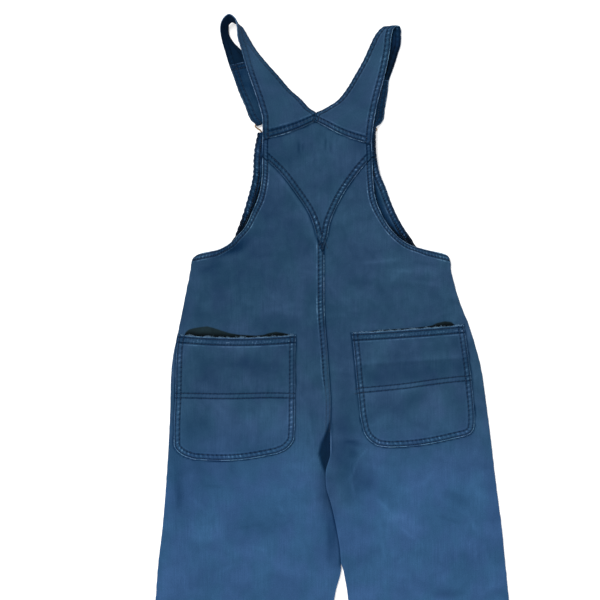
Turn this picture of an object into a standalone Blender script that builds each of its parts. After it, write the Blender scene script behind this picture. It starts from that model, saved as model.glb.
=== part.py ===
"""Denim dungarees laid flat on their front, with the back of the garment up.

Sizes are in millimetres in the garment's own frame: +X towards the wearer's right, +Y from the leg
hems to the straps, +Z up from the surface that the garment lies on. Meshes are made in metres.
"""

import math
from collections import namedtuple

import bmesh
import bpy
import numpy as np

MM = 0.001

# Cloth, and how its layers lie on each other.
PLY = 1.2  # one layer of denim
GAP = 0.3  # between pieces at a seam, and between layers that touch
HEM_PLY = 0.8  # the turned-up cloth that a hem adds
SEAM_HEIGHT = PLY + GAP  # underside of the back where it is sewn to the front
LIE = 3.1  # underside of the back away from its seams
ROLL = 20.0  # how far from a side seam the back reaches its full height
LEG_HEM = 13.0
POCKET_HEM = 12.0

# Levels of the cut, up the garment.
HEM_Y = -704.5
GAP_TOP_Y = -125.0  # where the gap between the legs starts
CROTCH_Y = -4.0
WAIST_Y = 299.0
ARMPIT_LEVEL = 345.0
TIP_LEVEL = 494.0  # where the curved yoke seams run out into the armholes

# Brass hardware that joins the straps to the bib, under the garment.
BUTTON_RADIUS = 8.5
BUTTON_HEAD = 2.2
SHANK_RADIUS = 2.6
WIRE_RADIUS = 1.0
BIB_LIFT = BUTTON_HEAD + 2 * WIRE_RADIUS + 2 * GAP  # underside of the bib over the hardware
BACK_LIFT = BIB_LIFT + PLY + 2 * GAP - LIE  # how much higher the back lies there
BAR_Z = GAP + PLY + GAP + WIRE_RADIUS
HOOK_Z = BUTTON_HEAD + GAP + WIRE_RADIUS
CLASP_LENGTH = 43.0  # from the bar to the button
PILE_FLAT = 16.0  # the cloth is level this far round the hardware
PILE_REACH = 110.0  # and comes down over this distance

Point = namedtuple("Point", "level x y")
Section = namedtuple("Section", "left_x left_y left_z right_x right_y right_z free")
PocketRow = namedtuple("PocketRow", "left_x left_y right_x right_y sag")
BibRow = namedtuple("BibRow", "y left_x right_x")
Fold = namedtuple("Fold", "x0 y0 x1 y1 width rise")
Lobe = namedtuple("Lobe", "start end rise")
Clasp = namedtuple("Clasp", "bar_x bar_y along_x along_y")


def table(kind, *rows):
    return [kind(*row) for row in rows]


# The lines that the back is cut to. A panel's row at a level runs from its outer to its inner line.
LEFT_OUTER = table(
    Point,
    (HEM_Y, -307, HEM_Y),
    (-473, -290, -473),
    (-233, -273, -233),
    (-125, -267, -125),
    (-64, -260, -64),
    (-4, -255, -4),
    (97, -249, 97),
    (187, -245, 187),
    (232, -236, 232),
    (277, -227, 277),
    (322, -218, 322),
    (ARMPIT_LEVEL, -215, 338),
    (354, -205, 346),
    (364, -178, 352),
    (376, -160, 361),
    (390, -149, 372),
    (406, -136, 387),
    (424, -125, 410),
    (444, -116, 432),
    (468, -111, 460),
    (TIP_LEVEL, -110, 490),
)
RIGHT_OUTER = table(
    Point,
    (HEM_Y, 307, HEM_Y),
    (-473, 287, -473),
    (-233, 266, -233),
    (-125, 255, -125),
    (-64, 249, -64),
    (-4, 241, -4),
    (97, 229, 97),
    (187, 215, 187),
    (232, 202, 232),
    (277, 185, 277),
    (322, 173, 322),
    (ARMPIT_LEVEL, 171.5, 337),
    (354, 165, 345),
    (364, 137, 352),
    (376, 113, 359),
    (390, 97, 369),
    (406, 82, 384),
    (424, 70, 403),
    (444, 60, 427),
    (468, 56, 458),
    (TIP_LEVEL, 54.5, 490),
)
CENTRE = table(
    Point,
    (CROTCH_Y, -12, CROTCH_Y),
    (13, -13, 13),
    (52, -8, 52),
    (97, -8.5, 97),
    (187, -14, 187),
    (277, -20, 277),
    (ARMPIT_LEVEL, -20, ARMPIT_LEVEL),
)
V_LEFT = table(
    Point,
    (354, -20, 352),
    (368, -23, 367),
    (390, -29, 392),
    (412, -38, 413),
    (438, -56, 440),
    (466, -79, 470),
    (TIP_LEVEL, -106, 496),
)
V_RIGHT = table(
    Point,
    (354, -20, 352),
    (368, -18, 367),
    (390, -14, 392),
    (412, -6, 413),
    (438, 8, 440),
    (466, 29, 470),
    (TIP_LEVEL, 51.5, 496),
)
LEFT_INSEAM = table(
    Point,
    (HEM_Y, -49, HEM_Y),
    (-473, -32, -473),
    (-233, -10, -233),
    (-160, 0, -160),
    (GAP_TOP_Y, 8, GAP_TOP_Y),
    (-92, 6.5, -92),
    (-64, 1.5, -64),
    (-30, -6, -30),
)
RIGHT_INSEAM = table(
    Point,
    (HEM_Y, 49, HEM_Y),
    (-473, 36, -473),
    (-233, 22, -233),
    (-160, 17, -160),
    (GAP_TOP_Y, 11, GAP_TOP_Y),
    (-92, 8, -92),
    (-64, 3, -64),
    (-30, -4.5, -30),
)
LEFT_SHOULDER = table(
    Point,
    (TIP_LEVEL, -106, 496),
    (506, -110, 506),
    (521, -110, 521.3),
)
RIGHT_SHOULDER = table(
    Point,
    (TIP_LEVEL, 51.5, 496),
    (506, 54, 504),
    (521, 54, 514.3),
)
YOKE_MIDDLE = table(
    Point,
    (354, -20, 353),
    (390, -20, 399),
    (438, -22, 452),
    (TIP_LEVEL, -26, 509),
    (521, -28.5, 550.3),
)
BIB_SLOPE = 5.0  # how much lower the left end of the bib's top edge lies
BIB = table(
    BibRow,
    (WAIST_Y + GAP, -221, 180),
    (322, -218, 174),
    (335, -216, 171),
    (339, -213, 168),
    (344, -201, 156),
    (350, -181, 132),
    (357, -166, 121),
    (368, -154, 114),
    (382, -148, 104),
    (401, -141, 93),
    (427, -133, 83),
    (445, -128, 77),
    (467, -124, 68),
    (487, -122, 63),
    (515, -119, 60),
    (533, -116, 57.5),
)

# The straps, section by section: up the back, round at the shoulder and down the front, where the
# inner face shows. free is 0 where the strap lies at the back's own height and 1 where z is its own.
LEFT_STRAP = table(
    Section,
    (-110, 522.0, 6.5, -28.9, 551.0, 5.0, 0.0),
    (-110, 531.0, 6.5, -29.4, 557.0, 5.0, 0.1),
    (-110, 545.0, 6.6, -39.0, 564.0, 4.0, 0.3),
    (-115, 568.0, 5.8, -52.0, 578.0, 3.8, 0.8),
    (-122, 590.0, 5.0, -68.0, 592.0, 3.9, 1.0),
    (-130, 613.0, 4.8, -86.0, 613.0, 4.0, 1.0),
    (-136, 632.0, 6.0, -104.0, 633.0, 4.0, 1.0),
    (-142, 653.0, 10.5, -121.0, 654.0, 4.2, 1.0),
    (-147, 671.0, 16.5, -132.0, 672.0, 4.0, 1.0),
    (-148, 686.0, 21.0, -141.0, 686.0, 3.4, 1.0),
    (-151, 698.0, 24.0, -148.0, 690.0, 3.0, 1.0),
    (-160, 704.0, 24.0, -155.5, 693.5, 2.6, 1.0),
    (-169, 697.0, 21.0, -161.0, 688.0, 2.4, 1.0),
    (-173, 682.0, 15.0, -160.5, 676.0, 2.0, 1.0),
    (-171, 667.0, 9.0, -154.0, 664.0, 1.7, 1.0),
    (-166, 649.0, 3.6, -142.0, 652.0, 1.3, 1.0),
    (-160, 629.0, 1.1, -129.0, 636.0, 1.1, 1.0),
    (-154, 613.0, 0.9, -122.0, 620.0, 0.9, 1.0),
    (-146, 590.0, 0.9, -113.0, 598.0, 0.9, 1.0),
    (-136, 567.0, 0.9, -104.0, 576.0, 0.9, 1.0),
    (-126.5, 545.5, 0.9, -98.5, 557.0, 0.9, 1.0),
)
RIGHT_STRAP = table(
    Section,
    (-28.1, 551.0, 5.0, 54.0, 515.0, 6.5, 0.0),
    (-27.6, 557.0, 5.0, 54.5, 524.0, 6.5, 0.1),
    (-20.0, 562.0, 4.0, 56.0, 536.0, 6.6, 0.3),
    (1.0, 575.0, 3.8, 60.0, 560.0, 5.8, 0.8),
    (16.0, 593.0, 3.9, 66.0, 586.0, 5.0, 1.0),
    (28.0, 613.0, 4.0, 72.0, 608.0, 4.8, 1.0),
    (41.0, 636.0, 4.2, 78.0, 634.0, 5.0, 1.0),
    (53.0, 658.0, 4.6, 82.0, 657.0, 5.8, 1.0),
    (63.0, 674.0, 5.2, 84.0, 675.0, 7.2, 1.0),
    (70.0, 682.0, 5.2, 87.0, 684.0, 8.0, 1.0),
    (74.0, 684.5, 4.2, 92.0, 688.0, 7.0, 1.0),
    (75.5, 682.0, 2.6, 96.0, 687.0, 5.2, 1.0),
    (73.0, 674.0, 1.7, 98.0, 678.0, 3.4, 1.0),
    (68.0, 664.0, 1.2, 98.0, 665.0, 2.0, 1.0),
    (62.0, 646.0, 0.9, 93.0, 645.0, 1.1, 1.0),
    (54.0, 627.0, 0.9, 86.0, 623.0, 0.9, 1.0),
    (48.0, 611.0, 0.9, 80.0, 606.0, 0.9, 1.0),
    (46.0, 593.0, 0.9, 78.0, 588.0, 0.9, 1.0),
    (40.0, 571.0, 0.9, 74.0, 565.0, 0.9, 1.0),
    (34.5, 550.5, 0.9, 69.5, 543.5, 0.9, 1.0),
)
STRAP_STEP = 5.0  # longest distance between two rows of a strap's points
STRAP_END_WIDTH = 26.0
TAIL_INSET = 0.8  # the folded-back end is this much narrower on each side
LEFT_TAIL = 5  # how many of the last sections the folded-back end covers
RIGHT_TAIL = 4
LEFT_CLASP = Clasp(-108.0, 544.5, 0.37, -0.93)
RIGHT_CLASP = Clasp(47.5, 538.0, -0.25, -0.968)

LEFT_POCKET = table(
    PocketRow,
    (-236, 224, -60, 224, 4.2),
    (-238, 212, -60.5, 212, 0.0),
    (-241, 130, -61, 131, 0.0),
    (-243, 79, -62, 79, 0.0),
    (-243, 62, -64, 64.5, 0.6),
    (-237, 50, -71, 54.5, 2.8),
    (-222, 39.5, -84, 48, 4.8),
)
RIGHT_POCKET = table(
    PocketRow,
    (24, 227, 192, 239, 0.8),
    (25.5, 215, 194, 227, 0.0),
    (33, 139, 204, 151, 0.0),
    (39, 91, 208, 100, 0.0),
    (42, 76, 208, 86, 0.8),
    (50, 65, 201, 75, 2.2),
    (64, 57, 188, 68, 2.8),
)
# Where the pocket mouths stand away from the back, as shares of their width.
LEFT_MOUTH = table(Lobe, (0.04, 0.58, 2.7), (0.68, 0.98, 1.2))
RIGHT_MOUTH = table(Lobe, (0.10, 0.60, 1.0), (0.62, 0.98, 2.4))
MOUTH_DEPTH = 60.0  # how far down the pocket the mouth's swell reaches

# The largest soft folds of the back: a ridge, or a trough where the rise is negative.
FOLDS = table(
    Fold,
    (46, 60, 20, -4, 16, 0.9),
    (-30, 70, -52, -30, 24, 0.9),
    (-13, 92, -16, 16, 9, -1.6),
    (-170, 330, -70, 372, 22, 0.7),
    (52, 306, 150, 326, 18, 0.7),
    (-150, -210, -172, -610, 34, 1.1),
    (-96, -300, -110, -640, 30, -0.7),
    (150, -200, 178, -600, 34, 1.1),
    (90, -290, 112, -650, 30, -0.7),
    (-225, -60, -236, -190, 24, -0.7),
    (215, -40, 232, -180, 24, -0.7),
)

DENIM = {
    "back_left": (0.035, 0.075, 0.15),
    "back_right": (0.037, 0.079, 0.155),
    "back_yoke": (0.026, 0.067, 0.13),
    "strap_left": (0.021, 0.056, 0.115),
    "strap_right": (0.030, 0.070, 0.13),
    "pocket_left": (0.024, 0.062, 0.135),
    "pocket_right": (0.026, 0.068, 0.145),
    "front_bib": (0.011, 0.037, 0.078),
    "front_left": (0.033, 0.093, 0.205),
    "front_right": (0.033, 0.093, 0.205),
}
DENIM_ROUGHNESS = 0.92
BRASS = (0.52, 0.36, 0.16)
BRASS_ROUGHNESS = 0.38


def smooth(at, stations, values):
    """A smooth cubic through a table's rows that never swings past them.

    Each row's slope is that of the parabola through it and its neighbours, held to three times
    the gentler slope beside it, and is zero where the slopes on its two sides differ in sign.
    """
    stations = np.asarray(stations, float)
    values = np.asarray(values, float).reshape(len(stations), -1)
    step = np.diff(stations)[:, None]
    slope = np.diff(values, axis=0) / step
    before, after = slope[:-1], slope[1:]
    parabola = (before * step[1:] + after * step[:-1]) / (step[1:] + step[:-1])
    limit = 3.0 * np.minimum(np.abs(before), np.abs(after)) * (before * after > 0)
    tangent = np.vstack([slope[:1], np.clip(parabola, -limit, limit), slope[-1:]])
    at = np.clip(np.asarray(at, float), stations[0], stations[-1])
    k = np.clip(np.searchsorted(stations, at, side="right") - 1, 0, len(step) - 1)
    h = step[k]
    t = (at - stations[k])[:, None] / h
    return (
        values[k] * (1 + 2 * t) * (1 - t) ** 2
        + values[k + 1] * t**2 * (3 - 2 * t)
        + tangent[k] * h * t * (1 - t) ** 2
        - tangent[k + 1] * h * t**2 * (1 - t)
    )


def ease(share):
    """Rises smoothly from 0 to 1 while its argument goes from 0 to 1."""
    share = np.clip(share, 0.0, 1.0)
    return share * share * (3 - 2 * share)


def on_line(line, levels):
    """The (x, y) of a cutting line at each level."""
    return smooth(levels, [p.level for p in line], [(p.x, p.y) for p in line])


def from_segment(x, y, x0, y0, x1, y1):
    """Distance of each point from a straight segment, and how far along the segment it lies."""
    length = math.hypot(x1 - x0, y1 - y0)
    ux, uy = (x1 - x0) / length, (y1 - y0) / length
    along = (x - x0) * ux + (y - y0) * uy
    nearest = np.clip(along, 0.0, length)
    away = np.hypot(x - x0 - nearest * ux, y - y0 - nearest * uy)
    return away, nearest / length


def pile(x, y):
    """1 over the buttons and clasps, falling smoothly to 0 away from them."""
    bare = 1.0
    for clasp in (LEFT_CLASP, RIGHT_CLASP):
        end_x = clasp.bar_x + CLASP_LENGTH * clasp.along_x
        end_y = clasp.bar_y + CLASP_LENGTH * clasp.along_y
        away, _ = from_segment(x, y, clasp.bar_x, clasp.bar_y, end_x, end_y)
        bare = bare * ease((away - PILE_FLAT) / (PILE_REACH - PILE_FLAT))
    return 1.0 - bare


def folds(x, y):
    """The sum of the folds: each has a bell-shaped section and dies out past its ends."""
    total = np.zeros_like(x)
    for f in FOLDS:
        away, _ = from_segment(x, y, f.x0, f.y0, f.x1, f.y1)
        total += f.rise * np.exp(-((away / f.width) ** 2))
    return total


LEFT_SEAM = LEFT_INSEAM + CENTRE + V_LEFT
RIGHT_SEAM = RIGHT_INSEAM + CENTRE + V_RIGHT
LEFT_CUT = (LEFT_OUTER, LEFT_SEAM)
RIGHT_CUT = (RIGHT_OUTER, RIGHT_SEAM)


def line_x(line, y):
    """Where a cutting line crosses a height, below the armpits."""
    below = [p for p in line if p.level <= ARMPIT_LEVEL]
    flat = smooth(np.ravel(y), [p.y for p in below], [p.x for p in below])
    return flat.reshape(np.shape(y))


def back_underside(cut, x, y):
    """Height of the back's underside.

    It lies LIE above the surface, more over the hardware and in its folds, and comes down to the
    front within ROLL of the side seams and of the inseams.
    """
    outer, seam = cut
    height = LIE + BACK_LIFT * pile(x, y) + folds(x, y)
    armpit_y = outer_armpit(outer)
    held = 1.0 - ease((y - armpit_y + 14.0) / 14.0)
    side = 1.0 - held * (1.0 - ease(np.abs(x - line_x(outer, y)) / ROLL))
    opens = GAP_TOP_Y if cut is RIGHT_CUT else CROTCH_Y
    leg = 1.0 - ease((y - opens) / 30.0 + 1.0)
    inside = 1.0 - leg * (1.0 - ease(np.abs(x - line_x(seam, y)) / ROLL))
    height = SEAM_HEIGHT + (height - SEAM_HEIGHT) * side * inside
    return np.maximum(height, SEAM_HEIGHT)


def outer_armpit(outer):
    return next(p.y for p in outer if p.level == ARMPIT_LEVEL)


def spread(count):
    """Places of a row's points from 0 to 1, closer together towards both ends."""
    return (1.0 - np.cos(np.linspace(0.0, math.pi, count))) / 2.0


def between(start, end, count):
    """A grid of rows: row i runs straight from start[i] to end[i]."""
    u = spread(count)[None, :, None]
    return start[:, None, :] * (1.0 - u) + end[:, None, :] * u


def raised(flat, height):
    """A grid of (x, y) points with their heights."""
    return np.dstack([flat, height])


def material(name, color, roughness, metallic):
    made = bpy.data.materials.new(name)
    made.use_nodes = True
    shader = made.node_tree.nodes["Principled BSDF"]
    shader.inputs["Base Color"].default_value = (*color, 1.0)
    shader.inputs["Roughness"].default_value = roughness
    shader.inputs["Metallic"].default_value = metallic
    return made


def finish(name, mesh, smooth_angle):
    """Turns the faces outwards, shades the mesh and adds its object to the scene."""
    bm = bmesh.new()
    bm.from_mesh(mesh)
    bmesh.ops.recalc_face_normals(bm, faces=bm.faces)
    bm.to_mesh(mesh)
    bm.free()
    mesh.shade_smooth()
    mesh.set_sharp_from_angle(angle=math.radians(smooth_angle))
    made = bpy.data.objects.new(name, mesh)
    bpy.context.scene.collection.objects.link(made)
    return made


def wall(name, lower, upper):
    """A closed wall of cloth between two grids of points, with a rim round all four edges."""
    rows, columns = lower.shape[:2]
    points = np.concatenate([lower.reshape(-1, 3), upper.reshape(-1, 3)]) * MM
    number = np.arange(rows * columns).reshape(rows, columns)
    a, b = number[:-1, :-1], number[:-1, 1:]
    c, d = number[1:, 1:], number[1:, :-1]
    low = np.stack([a, d, c, b], axis=-1).reshape(-1, 4)
    high = np.stack([a, b, c, d], axis=-1).reshape(-1, 4) + rows * columns
    loop = np.concatenate([number[0], number[1:, -1], number[-1, -2::-1], number[-2:0:-1, 0]])
    after = np.roll(loop, -1)
    rim = np.stack([loop, after, after + rows * columns, loop + rows * columns], axis=-1)
    mesh = bpy.data.meshes.new(name)
    mesh.from_pydata(points.tolist(), [], np.concatenate([low, high, rim]).tolist())
    made = finish(name, mesh, 50.0)
    mesh.materials.append(material(name, DENIM[name], DENIM_ROUGHNESS, 0.0))
    return made


def sheet_wall(name, lower, thickness):
    """Cloth that lies flat: its upper points stand straight above its lower ones."""
    upper = lower.copy()
    upper[:, :, 2] += thickness
    return wall(name, lower, upper)


def ribbon_wall(name, middle):
    """Cloth that turns over: its two faces lie half a ply to each side of its middle surface."""
    along = np.gradient(middle, axis=0)
    across = np.gradient(middle, axis=1)
    normal = np.cross(along, across)
    normal /= np.linalg.norm(normal, axis=2, keepdims=True)
    return wall(name, middle - normal * PLY / 2, middle + normal * PLY / 2)


SEAM_LEVELS = np.linspace(354.0, TIP_LEVEL, 14)  # shared by the yoke and the panels beside it


def back_levels():
    """The levels of the back panels' rows, closest together round the armholes."""
    return np.concatenate(
        [
            [HEM_Y, HEM_Y + LEG_HEM - 1.0, HEM_Y + LEG_HEM],
            np.linspace(-620.0, -180.0, 8),
            np.linspace(-150.0, 10.0, 9),
            np.linspace(28.0, 325.0, 15),
            [336.0, ARMPIT_LEVEL],
            SEAM_LEVELS,
        ]
    )


def back_panel(name, cut, towards_outside):
    """One half of the back, from the leg hem to the tip beside the yoke."""
    outer, seam = cut
    levels = back_levels()
    start, end = on_line(outer, levels), on_line(seam, levels)
    end[:, 0] += towards_outside * GAP
    flat = between(start, end, 12)
    lower = raised(flat, back_underside(cut, flat[:, :, 0], flat[:, :, 1]))
    hem = (levels < HEM_Y + LEG_HEM - 0.5)[:, None]
    sheet_wall(name, lower, PLY + HEM_PLY * hem)


def yoke():
    """The kite-shaped insert between the shoulder blades, with a bend in each row's middle."""
    lower, upper = SEAM_LEVELS[1:], np.array([506.0, 513.0, 521.0])
    left = np.vstack([on_line(LEFT_SEAM, lower), on_line(LEFT_SHOULDER, upper)])
    right = np.vstack([on_line(RIGHT_SEAM, lower), on_line(RIGHT_SHOULDER, upper)])
    left[:, 0] += GAP
    right[:, 0] -= GAP
    middle = on_line(YOKE_MIDDLE, np.concatenate([lower, upper]))
    flat = np.concatenate([between(left, middle, 6)[:, :-1], between(middle, right, 6)], axis=1)
    height = back_underside(LEFT_CUT, flat[:, :, 0], flat[:, :, 1])
    sheet_wall("back_yoke", raised(flat, height), PLY)


def mouth_swell(lobes, place, down):
    """How far a pocket stands away from the back: a rounded bulge in each lobe of its mouth."""
    swell = np.zeros_like(place * down)
    for lobe in lobes:
        share = np.clip((place - lobe.start) / (lobe.end - lobe.start), 0.0, 1.0)
        swell += lobe.rise * np.sin(math.pi * share) ** 2 * (1.0 - ease(down / MOUTH_DEPTH))
    return swell


def pocket(name, rows, cut, lobes):
    """A patch pocket made from the back's own points, moved out, with a hem at its mouth."""
    heights = np.array([-r.left_y for r in rows])
    mouth = heights[0]
    at = np.concatenate(
        [
            [mouth, mouth + POCKET_HEM - 1.0, mouth + POCKET_HEM],
            np.linspace(mouth + 32.0, heights[3], 6),
            np.linspace(heights[3], heights[-1], 7)[1:],
        ]
    )
    row = smooth(at, heights, rows)
    flat = between(row[:, 0:2], row[:, 2:4], 14)
    place = spread(14)[None, :]
    flat[:, :, 1] -= row[:, 4:5] * np.sin(math.pi * place)
    down = (at - mouth)[:, None]
    height = back_underside(cut, flat[:, :, 0], flat[:, :, 1]) + PLY + GAP
    height = height + mouth_swell(lobes, place, down)
    hem = (down < POCKET_HEM - 0.5) * HEM_PLY
    sheet_wall(name, raised(flat, height), PLY + hem)


def turn_round_bar(clasp):
    """The strap's end sections: under the clasp's bar, round it and back over it."""
    along = np.array([clasp.along_x, clasp.along_y])
    across = np.array([-clasp.along_y, clasp.along_x]) * STRAP_END_WIDTH / 2
    reach = WIRE_RADIUS + GAP + PLY / 2
    sections = []
    for angle in np.radians((-90, -45, 0, 45, 90)):
        middle = np.array([clasp.bar_x, clasp.bar_y]) + along * reach * math.cos(angle)
        z = BAR_Z + reach * math.sin(angle)
        left, right = middle - across, middle + across
        sections.append((*left, z, *right, z, 1.0))
    return sections


def strap(name, rows, clasp, tail, cut):
    """A strap from the yoke over the shoulder to its clasp, with its end folded back and sewn."""
    fold = turn_round_bar(clasp)
    folded = []
    for row in reversed(rows[-tail:]):
        edge = np.array([row.right_x - row.left_x, row.right_y - row.left_y])
        inset = edge / np.linalg.norm(edge) * TAIL_INSET
        z = row.left_z + PLY + GAP
        left = (row.left_x + inset[0], row.left_y + inset[1], z)
        right = (row.right_x - inset[0], row.right_y - inset[1], row.right_z + PLY + GAP)
        folded.append((*left, *right, 1.0))
    sections = np.array([tuple(r) for r in rows] + fold + folded)
    middle = (sections[:, 0:3] + sections[:, 3:6]) / 2
    travelled = np.concatenate([[0.0], np.cumsum(np.linalg.norm(np.diff(middle, axis=0), axis=1))])
    at = [travelled[-1:]]
    for start, end in zip(travelled, travelled[1:]):
        at.append(np.linspace(start, end, math.ceil((end - start) / STRAP_STEP), endpoint=False))
    at = np.sort(np.concatenate(at))
    row = smooth(at, travelled, sections)
    u = np.linspace(0.0, 1.0, 5)[None, :, None]
    grid = row[:, None, 0:3] * (1.0 - u) + row[:, None, 3:6] * u
    lying = back_underside(cut, grid[:, :, 0], grid[:, :, 1]) + PLY / 2
    free = row[:, 6:7]
    grid[:, :, 2] = lying * (1.0 - free) + grid[:, :, 2] * free
    ribbon_wall(name, grid)


def bib():
    """The upper front, from the waist seam to the bib's top edge, raised over the hardware."""
    y = np.concatenate([np.linspace(BIB[0].y, 332.0, 3), np.linspace(340.0, BIB[-1].y, 18)])
    row = smooth(y, [r.y for r in BIB], [(r.left_x, r.right_x) for r in BIB])
    left_y = y - BIB_SLOPE * ease((y - 487.0) / 46.0)
    flat = between(np.column_stack([row[:, 0], left_y]), np.column_stack([row[:, 1], y]), 13)
    lower = raised(flat, BIB_LIFT * pile(flat[:, :, 0], flat[:, :, 1]))
    sheet_wall("front_bib", lower, PLY)


def front_panel(name, cut, towards_outside):
    """One half of the lower front, flat on the surface."""
    outer, seam = cut
    levels = np.concatenate([np.linspace(HEM_Y, -150.0, 8), np.linspace(-125.0, WAIST_Y, 13)])
    start, end = on_line(outer, levels), on_line(seam, levels)
    start[:, 1] = end[:, 1] = levels
    end[:, 0] += towards_outside * GAP
    flat = between(start, end, 6)
    sheet_wall(name, raised(flat, np.zeros(flat.shape[:2])), PLY)


def clasp_wire(name, clasp):
    """A bent wire: a bar through the strap's end, and a tapering hook round the button's shank."""
    hook = SHANK_RADIUS + GAP + WIRE_RADIUS
    side = [(13.5, 0.0), (14.8, 1.4), (14.2, 4.0), (9.8, 9.6), (8.4, 16.5), (8.4, 25.0)]
    side += [(7.0, 33.0), (4.6, 39.5)]
    turn = np.radians(np.linspace(0, 180, 7))
    end = [(hook * math.cos(a), CLASP_LENGTH + hook * math.sin(a)) for a in turn]
    path = np.array(side + end + [(-w, s) for w, s in reversed(side)] + [(0.0, 0.0)])
    across, down = path[:, 0], path[:, 1]
    x = clasp.bar_x + down * clasp.along_x - across * clasp.along_y
    y = clasp.bar_y + down * clasp.along_y + across * clasp.along_x
    z = BAR_Z + (HOOK_Z - BAR_Z) * ease((down - 8.0) / 20.0)
    curve = bpy.data.curves.new(name, "CURVE")
    curve.dimensions = "3D"
    curve.bevel_depth = WIRE_RADIUS * MM
    curve.bevel_resolution = 2
    spline = curve.splines.new("POLY")
    spline.points.add(len(path) - 1)
    spline.use_cyclic_u = True
    placed = np.column_stack([x * MM, y * MM, z * MM, np.ones(len(path))])
    spline.points.foreach_set("co", placed.ravel())
    made = bpy.data.objects.new(name, curve)
    bpy.context.scene.collection.objects.link(made)
    curve.materials.append(material(name, BRASS, BRASS_ROUGHNESS, 1.0))


def button(name, clasp):
    """A turned button: a flat round head on the surface, and a shank up to the bib."""
    profile = [(7.2, 0.0), (8.2, 0.3), (BUTTON_RADIUS, 1.1), (7.6, BUTTON_HEAD)]
    profile += [(SHANK_RADIUS, BUTTON_HEAD), (SHANK_RADIUS, BIB_LIFT - GAP)]
    x = clasp.bar_x + CLASP_LENGTH * clasp.along_x
    y = clasp.bar_y + CLASP_LENGTH * clasp.along_y
    bm = bmesh.new()
    rings = []
    for radius, z in profile:
        ring = []
        for a in np.linspace(0.0, 2 * math.pi, 20, endpoint=False):
            place = (x + radius * math.cos(a), y + radius * math.sin(a), z)
            ring.append(bm.verts.new([c * MM for c in place]))
        rings.append(ring)
    for low, high in zip(rings, rings[1:]):
        for k in range(20):
            n = (k + 1) % 20
            bm.faces.new((low[k], low[n], high[n], high[k]))
    bm.faces.new(rings[0])
    bm.faces.new(rings[-1])
    mesh = bpy.data.meshes.new(name)
    bm.to_mesh(mesh)
    bm.free()
    finish(name, mesh, 30.0)
    mesh.materials.append(material(name, BRASS, BRASS_ROUGHNESS, 1.0))


def main():
    for old in list(bpy.data.objects):
        bpy.data.objects.remove(old)
    back_panel("back_left", LEFT_CUT, -1)
    back_panel("back_right", RIGHT_CUT, 1)
    yoke()
    strap("strap_left", LEFT_STRAP, LEFT_CLASP, LEFT_TAIL, LEFT_CUT)
    strap("strap_right", RIGHT_STRAP, RIGHT_CLASP, RIGHT_TAIL, RIGHT_CUT)
    pocket("pocket_left", LEFT_POCKET, LEFT_CUT, LEFT_MOUTH)
    pocket("pocket_right", RIGHT_POCKET, RIGHT_CUT, RIGHT_MOUTH)
    bib()
    front_panel("front_left", LEFT_CUT, -1)
    front_panel("front_right", RIGHT_CUT, 1)
    for side, clasp in (("left", LEFT_CLASP), ("right", RIGHT_CLASP)):
        clasp_wire(f"clasp_{side}", clasp)
        button(f"button_{side}", clasp)


main()
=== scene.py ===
"""Dresses flat denim dungarees: washed and sewn cloth, brass hardware, floor, light and camera.

The garment lies on its front with its back up. Tables and shapes are in millimetres in the garment's
own frame: +X towards the wearer's right, +Y from the leg hems to the straps, +Z up from the floor.
Meshes are made in metres. Left and right are the wearer's own.
"""

import math
from collections import namedtuple
from functools import partial

import bmesh
import bpy
import numpy as np
from bpy.props import FloatProperty, FloatVectorProperty, IntProperty, PointerProperty
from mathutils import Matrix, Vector


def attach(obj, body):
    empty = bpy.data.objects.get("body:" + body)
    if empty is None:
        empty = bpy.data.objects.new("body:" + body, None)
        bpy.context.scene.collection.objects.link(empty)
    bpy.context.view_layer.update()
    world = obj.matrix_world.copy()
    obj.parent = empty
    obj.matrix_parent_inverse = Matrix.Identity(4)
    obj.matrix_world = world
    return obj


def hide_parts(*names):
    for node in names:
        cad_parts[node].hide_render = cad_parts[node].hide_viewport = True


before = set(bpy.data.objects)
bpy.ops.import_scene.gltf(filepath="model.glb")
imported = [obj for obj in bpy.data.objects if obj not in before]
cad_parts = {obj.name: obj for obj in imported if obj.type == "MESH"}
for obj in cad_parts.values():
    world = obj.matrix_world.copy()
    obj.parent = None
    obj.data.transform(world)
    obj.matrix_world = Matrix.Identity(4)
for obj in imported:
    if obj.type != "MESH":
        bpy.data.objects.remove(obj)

bl_info = {
    "name": "Flat Denim Dungarees",
    "version": (1, 0, 0),
    "blender": (4, 5, 0),
    "location": "View3D > Sidebar > Dungarees",
    "description": "Makes washed denim dungarees laid flat, with their seams, stitches and hardware",
    "category": "Object",
}

MM = 0.001
BODY = "root"

# Cloth, and how its layers lie on each other, as in the solids.
PLY = 1.2
GAP = 0.3
SEAM_HEIGHT = PLY + GAP  # underside of the back where it is sewn to the front
LIE = 3.1  # underside of the back away from its seams
ROLL = 20.0  # how far from a side seam the back reaches its full height

# Levels of the cut, up the garment.
HEM_Y = -704.5
GAP_TOP_Y = -125.0
CROTCH_Y = -4.0
WAIST_Y = 299.0
ARMPIT_LEVEL = 345.0
YOKE_POINT = 354.0
TIP_LEVEL = 494.0
YOKE_TOP = 521.0

# The pile of hardware under the bib.
BUTTON_HEAD = 2.2
WIRE_RADIUS = 1.0
BIB_LIFT = BUTTON_HEAD + 2 * WIRE_RADIUS + 2 * GAP
BACK_LIFT = BIB_LIFT + PLY + 2 * GAP - LIE
BAR_Z = GAP + PLY + GAP + WIRE_RADIUS
CLASP_LENGTH = 43.0
PILE_FLAT = 16.0
PILE_REACH = 110.0

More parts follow.
